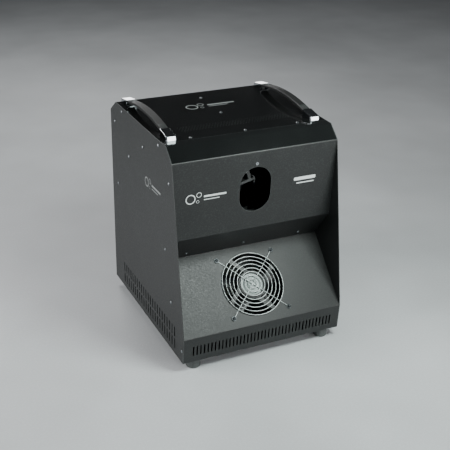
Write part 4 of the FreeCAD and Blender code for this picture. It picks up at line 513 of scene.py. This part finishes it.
# Matt studio paper.
FLOOR_PAPER = Finish("pale_floor", "#d2d5d7", "#d9dcde", grain_mm=6.0, roughness=(0.75, 0.85), relief_mm=0.02,
                     patch_mm=700.0, edge_wear_and_highlight=0.0)


def board_finish(name: str, node: str, axis: int) -> CircuitBoard:
    """Finish for a board whose parts stand up along an axis.

    Args:
        name: Material name.
        node: CAD node of the board.
        axis: Index of the axis off the board: 1 or 2.

    Returns:
        The finish, with the board's face where the node has it.
    """
    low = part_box(node)[0]
    board, pillars = 1.6 * MM, 8.0 * MM
    stand_off = board + pillars if axis == 2 else board
    return CircuitBoard(name, "#1c6b3a", "#15582f", grain_mm=1.0, roughness=(0.3, 0.42), relief_mm=0.03, axis=axis,
                        face=low[axis] + stand_off, edge="#7b8f6f")


class Paintbox:
    """Builds each finish once and hands out its material."""

    def __init__(self) -> None:
        """Start with no materials built."""
        self.made: Dict[str, bpy.types.Material] = {}

    def material(self, finish: Finish) -> bpy.types.Material:
        """Give the finish's material, building it the first time."""
        if finish.name not in self.made:
            self.made[finish.name] = finish.build()
        return self.made[finish.name]

    def dress(self, obj: bpy.types.Object, finish: Finish) -> None:
        """Put a finish on an object as its only material.

        Args:
            obj: Object to dress.
            finish: Finish that it gets.
        """
        obj.data.materials.clear()
        obj.data.materials.append(self.material(finish))


# ---- mesh helpers --------------------------------------------------------------------------
def mesh_object(name: str, mesh: bmesh.types.BMesh, smooth_deg: float = 35.0) -> bpy.types.Object:
    """Turn a bmesh into an object at the origin, smooth except over sharp edges.

    Args:
        name: Object name.
        mesh: The bmesh, which is freed.
        smooth_deg: Angle over which an edge stays sharp.

    Returns:
        The new object, linked to the scene.
    """
    bmesh.ops.remove_doubles(mesh, verts=mesh.verts[:], dist=1e-7)
    bmesh.ops.recalc_face_normals(mesh, faces=mesh.faces[:])
    for face in mesh.faces:
        face.smooth = True
    limit = math.radians(smooth_deg)
    for edge in mesh.edges:
        edge.smooth = len(edge.link_faces) == 2 and edge.calc_face_angle(0.0) < limit
    data = bpy.data.meshes.new(name)
    mesh.to_mesh(data)
    mesh.free()
    obj = bpy.data.objects.new(name, data)
    bpy.context.scene.collection.objects.link(obj)
    return obj


def bevel_sharp(mesh: bmesh.types.BMesh, width: float, segments: int = 2) -> None:
    """Round every edge that turns by more than 30 degrees.

    Args:
        mesh: The bmesh to change.
        width: Bevel width in metres.
        segments: Segments across each bevel.
    """
    sharp = [e for e in mesh.edges if len(e.link_faces) == 2 and e.calc_face_angle(0.0) > math.radians(30)]
    bmesh.ops.bevel(mesh, geom=sharp, offset=width, segments=segments, affect="EDGES", profile=0.5, material=-1)


@dataclass(frozen=True)
class Plane:
    """A flat place on the machine: an origin, an across direction and an outward normal."""

    origin: Vector
    across: Vector
    normal: Vector

    def matrix(self) -> Matrix:
        """Matrix from the flat frame (X across, Y up the face, Z outward) to the machine."""
        up = self.normal.cross(self.across).normalized()
        turn = Matrix((self.across.normalized(), up, self.normal.normalized())).transposed()
        return Matrix.Translation(self.origin) @ turn.to_4x4()


def joint_plane(name: str) -> Plane:
    """Plane across a joint's axis.

    Args:
        name: Joint name in the record.

    Returns:
        Plane at the joint's position, its normal along the joint's axis.
    """
    joint = next(j for j in frame["joints"] if j["name"] == name)
    return Plane(Vector(joint["pos_m"]), ACROSS, Vector(joint["axis"]))


def add_ring(mesh: bmesh.types.BMesh, outer: float, inner: float, height: float, at: Tuple[float, float],
             segments: int = 48) -> None:
    """Add a flat ring lying on z = 0, by spinning its section.

    Args:
        mesh: The bmesh to add to.
        outer: Outer radius.
        inner: Inner radius.
        height: Thickness.
        at: Centre, x and y.
        segments: Steps round the ring.
    """
    corners = [(inner, 0.0), (outer, 0.0), (outer, height), (inner, height)]
    verts = [mesh.verts.new((at[0] + r, at[1], z)) for r, z in corners]
    section = mesh.faces.new(verts)
    bmesh.ops.spin(mesh, geom=verts + list(section.edges) + [section], cent=(at[0], at[1], 0.0),
                   axis=(0.0, 0.0, 1.0), angle=2 * math.pi, steps=segments, use_merge=True)
    if section.is_valid:
        mesh.faces.remove(section)


def add_block(mesh: bmesh.types.BMesh, size: Vector, centre: Vector, rounding: float, segments: int) -> None:
    """Add a block whose upright edges are rounded.

    Args:
        mesh: The bmesh to add to.
        size: Length, width and height.
        centre: Centre of the block.
        rounding: Radius of the upright edges.
        segments: Segments across each rounding.
    """
    place = Matrix.Translation(centre) @ Matrix.Diagonal((*size, 1.0))
    verts = bmesh.ops.create_cube(mesh, size=1.0, matrix=place)["verts"]
    edges = dict.fromkeys(edge for vert in verts for edge in vert.link_edges)
    upright = [e for e in edges if abs(e.verts[0].co.z - e.verts[1].co.z) > size[2] / 2]
    bmesh.ops.bevel(mesh, geom=upright, offset=rounding, segments=segments, affect="EDGES", profile=0.5,
                    material=-1)


# ---- sub-assemblies ------------------------------------------------------------------------
@dataclass
class SubAssembly:
    """Part of the machine that dresses its CAD nodes and may add pieces.

    Attributes:
        paint: Source of materials.
        pieces: Names of the pieces added so far.
    """

    paint: Paintbox
    pieces: List[str] = field(default_factory=list)

    def dress_nodes(self, finishes: Dict[str, Finish]) -> None:
        """Give each CAD node its finish.

        Args:
            finishes: Finish of each node by name.
        """
        for node, finish in finishes.items():
            self.paint.dress(frame["nodes"][node], finish)

    def add_piece(self, obj: bpy.types.Object, finish: Finish, body: str, slot: str) -> bpy.types.Object:
        """Dress a new piece and let it ride on a body.

        Args:
            obj: The new piece.
            finish: Its finish.
            body: CAD body that it moves with.
            slot: Record slot; not used.

        Returns:
            The piece.
        """
        self.paint.dress(obj, finish)
        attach(obj, body)
        self.pieces.append(obj.name)
        return obj

    def build(self) -> None:
        """Dress the nodes and add the pieces."""
        raise NotImplementedError


@dataclass
class Cabinet(SubAssembly):
    """Powder-coated panels, their fasteners, the feet and the plain printed trim.

    Attributes:
        ink: Thickness of the printed trim.
        gloss_drop: Distance below the roof where the front panel turns glossy.
        brow_drop: Distance from the roof down to the upper panel.
        panel_rise: Height of the upper panel.
        panel_lean: How far the upper panel leans back over its height.
        rings: Radius, place across and place up the face of each printed ring.
        ring_bore: Share of a ring's radius that stays open.
        bars: Length, width and place up the face of each printed bar.
        bar_start: Place across where those bars start.
        badge: Length, width, place across and place up the face of each badge stripe.
        front_print: Front print's place across and distance below the roof.
        badge_print: The same two for the badge.
        roof_print: Roof print's distance behind the side panels' front.
        side_print: Side print's distance behind that front and below the roof.
        roof_scale: Size of the roof print against the others.
        bar_rounding: Corner radius of a bar, as a share of its width.
    """

    ink: float = 0.12 * MM
    gloss_drop: float = 31 * MM
    brow_drop: float = 32 * MM
    panel_rise: float = 210 * MM
    panel_lean: float = 14 * MM
    rings: Tuple[Tuple[float, float, float], ...] = ((13 * MM, -41 * MM, 0.0), (7 * MM, -19 * MM, 9 * MM),
                                                     (4 * MM, -22 * MM, -9 * MM))
    ring_bore: float = 0.8
    bars: Tuple[Tuple[float, float, float], ...] = ((60 * MM, 5 * MM, 3 * MM), (42 * MM, 2.2 * MM, -6 * MM))
    bar_start: float = -6 * MM
    badge: Tuple[Tuple[float, float, float, float], ...] = ((62 * MM, 9 * MM, 0.0, 5 * MM),
                                                            (50 * MM, 3 * MM, 2 * MM, -7 * MM))
    front_print: Tuple[float, float] = (-133 * MM, 132 * MM)
    badge_print: Tuple[float, float] = (139 * MM, 129 * MM)
    roof_print: float = 354 * MM
    side_print: Tuple[float, float] = (200 * MM, 140 * MM)
    roof_scale: float = 1.3
    bar_rounding: float = 0.3

    def build(self) -> None:
        """Dress the panels and fasteners, then print the trim."""
        panels = ("base_tray", "fan_panel", "rear_panel", "left_side_panel", "right_side_panel", "service_door")
        self.dress_nodes({name: POWDER for name in panels})
        gloss_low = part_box("front_panel")[1].z - self.gloss_drop
        self.dress_nodes({"front_panel": replace(POWDER_FRONT, height=gloss_low)})
        self.dress_nodes({"roof_panel": POWDER_ROOF, "equipment_shelf": ZINC_SHEET, "outlet_screw": CHROME,
                          "latch_knob": CHROME, "side_panel_screws": BLACK_ZINC, "cabinet_screws": BLACK_ZINC})
        plated = ("foot_screws", "side_panel_nuts", "door_hinge_fixed_leaf", "door_hinge_moving_leaf",
                  "door_hinge_pin", "latch_cam")
        self.dress_nodes({name: ZINC_STEEL for name in plated})
        for end in ("front", "rear"):
            self.dress_nodes({f"foot_{end}_{side}": FOOT_RUBBER for side in ("left", "right")})
        for name, plane, scale, ink in self.trim_places():
            self.print_trim(name, plane, scale, ink)
        self.print_badge()

    def upper_panel_point(self, x: float, drop: float) -> Vector:
        """Point on the upper panel's outer face.

        Args:
            x: Place across.
            drop: Distance below the roof.

        Returns:
            The point.
        """
        low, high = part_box("front_panel")
        share = (drop - self.brow_drop) / self.panel_rise
        return Vector((x, low.y + share * self.panel_lean, high.z - drop))

    def upper_panel_plane(self, x: float, drop: float) -> Plane:
        """Plane of the upper panel at a point.

        Args:
            x: Place across.
            drop: Distance below the roof.

        Returns:
            The plane.
        """
        lean = math.atan2(self.panel_lean, self.panel_rise)
        normal = Vector((0.0, -math.cos(lean), -math.sin(lean)))
        return Plane(self.upper_panel_point(x, drop), ACROSS, normal)

    def trim_places(self) -> List[Tuple[str, Plane, float, Finish]]:
        """Name, plane, scale and ink of each print of the ring-and-bar trim."""
        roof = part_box("roof_panel")[1].z
        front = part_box("left_side_panel")[0]
        roof_plane = Plane(Vector((0.0, front.y + self.roof_print, roof)), ACROSS, Vector((0.0, 0.0, 1.0)))
        back, down = self.side_print
        side_place = Vector((front.x, front.y + back, roof - down))
        side_plane = Plane(side_place, Vector((0.0, -1.0, 0.0)), -ACROSS)
        return [("front_trim_print", self.upper_panel_plane(*self.front_print), 1.0, PRINT_INK),
                ("roof_trim_print", roof_plane, self.roof_scale, PRINT_INK_SHADED),
                ("side_trim_print", side_plane, 1.0, PRINT_INK_SHADED)]

    def add_bar(self, mesh: bmesh.types.BMesh, size: Tuple[float, float], at: Tuple[float, float]) -> None:
        """Add a printed bar with rounded corners, lying on z = 0.

        Args:
            mesh: The bmesh to add to.
            size: Length and width.
            at: Centre, x and y.
        """
        length, width = size
        add_block(mesh, Vector((length, width, self.ink)), Vector((at[0], at[1], self.ink / 2)),
                  self.bar_rounding * width, 4)

    def print_trim(self, name: str, plane: Plane, scale: float, ink: Finish) -> None:
        """Print three rings and two bars: plain bubbles and stripes.

        Args:
            name: Piece name.
            plane: Where it goes.
            scale: Size of the print.
            ink: Finish of the print.
        """
        mesh = bmesh.new()
        for radius, x, y in self.rings:
            outer = radius * scale
            add_ring(mesh, outer, outer * self.ring_bore, self.ink, (x * scale, y * scale))
        for length, width, y in self.bars:
            x = self.bar_start + length / 2
            self.add_bar(mesh, (length * scale, width * scale), (x * scale, y * scale))
        bmesh.ops.transform(mesh, matrix=plane.matrix(), verts=mesh.verts[:])
        self.add_piece(mesh_object(name, mesh), ink, "cabinet", "powder_coat")

    def print_badge(self) -> None:
        """Print the two stripes right of the outlet."""
        mesh = bmesh.new()
        for length, width, x, y in self.badge:
            self.add_bar(mesh, (length, width), (x, y))
        plane = self.upper_panel_plane(*self.badge_print)
        bmesh.ops.transform(mesh, matrix=plane.matrix(), verts=mesh.verts[:])
        self.add_piece(mesh_object("badge_print", mesh), PRINT_INK, "cabinet", "powder_coat")


@dataclass
class Handles(SubAssembly):
    """Two strap handles with chrome end caps and a ribbed pad near each end.

    Attributes:
        pad_start: Pad's outer end from the end of its strap's caps.
        rib_count: Ribs on each pad.
        rib_pitch: Distance between ribs.
        rib: Length, width and height of a rib.
        rib_rounding: Bevel of a rib's edges.
    """

    pad_start: float = 50 * MM
    rib_count: int = 11
    rib_pitch: float = 1.9 * MM
    rib: Tuple[float, float, float] = (18 * MM, 1.1 * MM, 0.7 * MM)
    rib_rounding: float = 0.25 * MM

    def build(self) -> None:
        """Dress the caps, straps and screws, then lay the ribs."""
        self.dress_nodes({"handle_screws": ZINC_STEEL})
        for side in ("left", "right"):
            self.dress_nodes({"handle_caps_" + side: CHROME, "handle_grip_" + side: STRAP})
            self.lay_ribs(side)

    def lay_ribs(self, side: str) -> None:
        """Lay both ribbed pads of one strap, each rib tilted to the strap under it.

        Args:
            side: "left" or "right".
        """
        grip = frame["nodes"]["handle_grip_" + side]
        tree = BVHTree.FromObject(grip, bpy.context.evaluated_depsgraph_get())
        low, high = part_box("handle_caps_" + side)
        middle = (low.x + high.x) / 2
        start = high.z + 100 * MM
        down = Vector((0.0, 0.0, -1.0))
        length, width, height = self.rib
        mesh = bmesh.new()
        for end, step in ((low.y + self.pad_start, 1), (high.y - self.pad_start, -1)):
            for i in range(self.rib_count):
                above = Vector((middle, end + step * i * self.rib_pitch, start))
                spot, normal = tree.ray_cast(above, down)[:2]
                tilt = math.atan2(-normal.y, normal.z)
                place = Matrix.Translation(spot) @ Matrix.Rotation(tilt, 4, "X")
                place = place @ Matrix.Diagonal((length, width, 2 * height, 1.0))
                bmesh.ops.create_cube(mesh, size=1.0, matrix=place)
        bevel_sharp(mesh, self.rib_rounding)
        self.add_piece(mesh_object("strap_ribs_" + side, mesh), STRAP_RIB, "cabinet", "grip_rubber")


@dataclass
class FanUnit(SubAssembly):
    """Axial fan on the slanted panel with its wire guard and a blank hub label.

    Attributes:
        label_radius: Radius of the label.
        label_depth: Label's face below the panel's outer face.
        label_thick: Thickness of the label.
        label_sides: Segments round the label.
        emboss: Width and rise of each embossed step, from the label's edge inwards.
    """

    label_radius: float = 29 * MM
    label_depth: float = 2.5 * MM
    label_thick: float = 0.25 * MM
    label_sides: int = 64
    emboss: Tuple[Tuple[float, float], ...] = ((0.6 * MM, 0.08 * MM), (3 * MM, 0.0), (0.4 * MM, -0.06 * MM))

    def build(self) -> None:
        """Dress the fan and stick the label on its hub."""
        self.dress_nodes({"fan_frame": PAINTED_CASTING, "fan_rotor": FAN_NYLON, "fan_guard": CHROME_WIRE,
                          "guard_screws": DARK_REFLECTION_ZINC})
        mesh = bmesh.new()
        bmesh.ops.create_cone(mesh, cap_ends=True, segments=self.label_sides, radius1=self.label_radius,
                              radius2=self.label_radius, depth=self.label_thick)
        for thickness, depth in self.emboss:
            mesh.faces.ensure_lookup_table()
            top = [f for f in mesh.faces if f.normal.z > 0.9 and len(f.verts) == self.label_sides]
            bmesh.ops.inset_region(mesh, faces=top, thickness=thickness, depth=depth)
        drop = Matrix.Translation((0.0, 0.0, self.label_thick / 2 - self.label_depth))
        bmesh.ops.transform(mesh, matrix=joint_plane("fan_spin").matrix() @ drop, verts=mesh.verts[:])
        self.add_piece(mesh_object("fan_hub_label", mesh), LABEL_FOIL, "cabinet", "fan_casting")


@dataclass
class BubbleUnit(SubAssembly):
    """Bubble wheel, its motor, stand, trough and blower."""

    def build(self) -> None:
        """Dress every node of the unit."""
        self.dress_nodes({"bubble_wheel": WAND_ACETAL, "wheel_motor": DRAWN_CAN, "wheel_stand": ZINC_SHEET,
                          "bubble_trough": TROUGH_ABS, "blower_housing": TROUGH_ABS, "blower_impeller": FAN_NYLON,
                          "blower_motor": DRAWN_CAN, "blower_bracket": ZINC_SHEET, "bubble_hose": HOSE_PVC})


@dataclass
class FogUnit(SubAssembly):
    """Heater, pipe, pump, hoses and both fluid tanks with their fluid.

    Attributes:
        tank_wall: Tank wall with a little play, so that the fluid clears it.
        fluid_depth: Depth of the fluid.
        fluid_rounding: Radius of the fluid's upright edges.
    """

    tank_wall: float = 3 * MM
    fluid_depth: float = 100 * MM
    fluid_rounding: float = 8 * MM

    def build(self) -> None:
        """Dress every node of the unit and fill the tanks."""
        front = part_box("fog_heater")[0].y
        heater = HeatTinted("heater_casting", "#9a9fa0", "#b2b6b6", grain_mm=1.6, roughness=(0.32, 0.5),
                            relief_mm=0.1, metallic=1.0, hot_y=front, reach=0.12)
        self.dress_nodes({"fog_heater": heater, "fog_pipe": BRASS_TUBE, "fog_pump": DRAWN_CAN,
                          "fog_hose": HOSE_PVC})
        for name, fluid in (("bubble", BUBBLE_FLUID), ("fog", FOG_FLUID)):
            self.dress_nodes({name + "_tank": TANK_HDPE, name + "_tank_cap": CAP_RED})
            self.fill(name, fluid)

    def fill(self, name: str, fluid: Finish) -> None:
        """Fill a tank to two thirds.

        Args:
            name: Tank's first word.
            fluid: Finish of the fluid.
        """
        low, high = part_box(name + "_tank")
        wall = self.tank_wall
        size = Vector((high.x - low.x - 2 * wall, high.y - low.y - 2 * wall, self.fluid_depth))
        centre = Vector(((low.x + high.x) / 2, (low.y + high.y) / 2, low.z + wall + size.z / 2))
        mesh = bmesh.new()
        add_block(mesh, size, centre, self.fluid_rounding, 6)
        self.add_piece(mesh_object(name + "_tank_fluid", mesh), fluid, "cabinet", "tank_plastic")


@dataclass
class RearControls(SubAssembly):
    """Display, buttons, switch, inlet, sockets and the two boards."""

    def build(self) -> None:
        """Dress every node of the rear equipment."""
        self.dress_nodes({"display_window": DISPLAY_ACRYLIC, "switch_rocker": ROCKER_RED})
        self.dress_nodes({name: BLACK_NYLON for name in ("switch_frame", "mains_inlet", "data_sockets")})
        self.dress_nodes({f"control_button_{i}": BLACK_NYLON for i in range(1, 5)})
        self.dress_nodes({"control_board": board_finish("control_board_mask", "control_board", 1),
                          "power_board": board_finish("power_board_mask", "power_board", 2)})


# ---- studio --------------------------------------------------------------------------------
@dataclass(frozen=True)
class Softbox:
    """A rectangular studio light that faces the machine.

    Attributes:
        name: Light name.
        place: Place of the light, in metres.
        size: Width and height of the light.
        watts: Power.
        colour: Light colour, sRGB hex.
        mirrored_only: Shows in shiny surfaces, but doesn't light the floor.
    """

    name: str
    place: Tuple[float, float, float]
    size: Tuple[float, float]
    watts: float
    colour: str = "#ffffff"
    mirrored_only: bool = False


@dataclass
class Studio:
    """Pale floor, soft light and the camera.

    Attributes:
        azimuth: Camera's place round the machine, degrees; 0 looks along +Y.
        elevation: Camera's height above the horizon, degrees.
        roll: Camera's roll, degrees.
        distance: From the target to the camera, metres.
        target: Point that the camera looks at.
        lens: Focal length in millimetres.
        sensor: Sensor width in millimetres.
        floor_half: Half the side of the floor, metres.
        aim: Point that the lights face.
        surround: Colour of the surroundings, sRGB hex.
        surround_strength: Brightness of the surroundings.
        lights: The softboxes.
    """

    paint: Paintbox
    azimuth: float = -25.473
    elevation: float = 25.696
    roll: float = 1.18
    distance: float = 2.4335
    target: Tuple[float, float, float] = (-0.023245, -0.063, 0.290895)
    lens: float = 73.72
    sensor: float = 36.0
    floor_half: float = 9.0
    aim: Tuple[float, float, float] = (0.0, 0.0, 0.3)
    surround: str = "#c4c8cc"
    surround_strength: float = 0.07
    lights: Sequence[Softbox] = (
        Softbox("key_softbox", (0.27, -0.70, 1.12), (0.44, 0.46), 13.2, "#eefaf6"),
        Softbox("left_softbox", (-2.3, 0.25, 1.1), (1.4, 1.4), 52.0),
        Softbox("front_strip", (0.84, -1.95, 0.67), (1.3, 0.5), 19.0),
        Softbox("rear_strip", (0.75, 2.5, 0.62), (1.8, 0.3), 9.0, mirrored_only=True),
        Softbox("rear_softbox", (0.0, 2.4, 2.6), (0.8, 0.8), 34.0),
    )

    def build(self) -> None:
        """Lay the floor, set the lights and the camera."""
        self.lay_floor()
        for light in self.lights:
            self.hang(light)
        self.set_world()
        self.set_camera()

    def lay_floor(self) -> None:
        """Lay a large pale floor under the feet."""
        mesh = bmesh.new()
        bmesh.ops.create_grid(mesh, x_segments=2, y_segments=2, size=self.floor_half)
        floor = mesh_object("studio_floor", mesh)
        self.paint.dress(floor, FLOOR_PAPER)

    def hang(self, light: Softbox) -> None:
        """Hang one softbox, aimed at the machine's middle.

        Args:
            light: The softbox.
        """
        data = bpy.data.lights.new(light.name, "AREA")
        data.shape = "RECTANGLE"
        data.size, data.size_y = light.size
        data.energy = light.watts
        data.color = linear(light.colour)[:3]
        lamp = bpy.data.objects.new(light.name, data)
        lamp.location = Vector(light.place)
        lamp.visible_camera = False
        lamp.visible_diffuse = not light.mirrored_only
        aim = Vector(self.aim) - lamp.location
        lamp.rotation_euler = aim.to_track_quat("-Z", "Y").to_euler()
        bpy.context.scene.collection.objects.link(lamp)

    def set_world(self) -> None:
        """Give a dim neutral surrounding."""
        world = bpy.data.worlds.new("studio_world")
        world.use_nodes = True
        background = world.node_tree.nodes["Background"]
        background.inputs["Color"].default_value = linear(self.surround)
        background.inputs["Strength"].default_value = self.surround_strength
        bpy.context.scene.world = world

    def set_camera(self) -> None:
        """Place the camera and make it the scene's."""
        azimuth, elevation = math.radians(self.azimuth), math.radians(self.elevation)
        back = Vector((math.sin(azimuth) * math.cos(elevation), -math.cos(azimuth) * math.cos(elevation),
                       math.sin(elevation)))
        data = bpy.data.cameras.new("studio_camera")
        data.sensor_width = self.sensor
        data.lens = self.lens
        camera = bpy.data.objects.new("studio_camera", data)
        camera.location = Vector(self.target) + back * self.distance
        level = (-back).to_track_quat("-Z", "Y")
        turn = Matrix.Rotation(math.radians(self.roll), 4, "Z")
        camera.rotation_euler = (level.to_matrix().to_4x4() @ turn).to_euler()
        bpy.context.scene.collection.objects.link(camera)
        bpy.context.scene.camera = camera


def main() -> None:
    """Build every sub-assembly and the studio, in order."""
    logging.basicConfig(level=logging.INFO, format="%(name)s: %(message)s")
    paint = Paintbox()
    for kind in (Cabinet, Handles, FanUnit, BubbleUnit, FogUnit, RearControls):
        part = kind(paint)
        part.build()
        LOG.info("%s: %d new pieces %s", kind.__name__, len(part.pieces), ", ".join(part.pieces))
    Studio(paint).build()
    LOG.info("%d materials", len(paint.made))


if __name__ == "__main__":
    main()
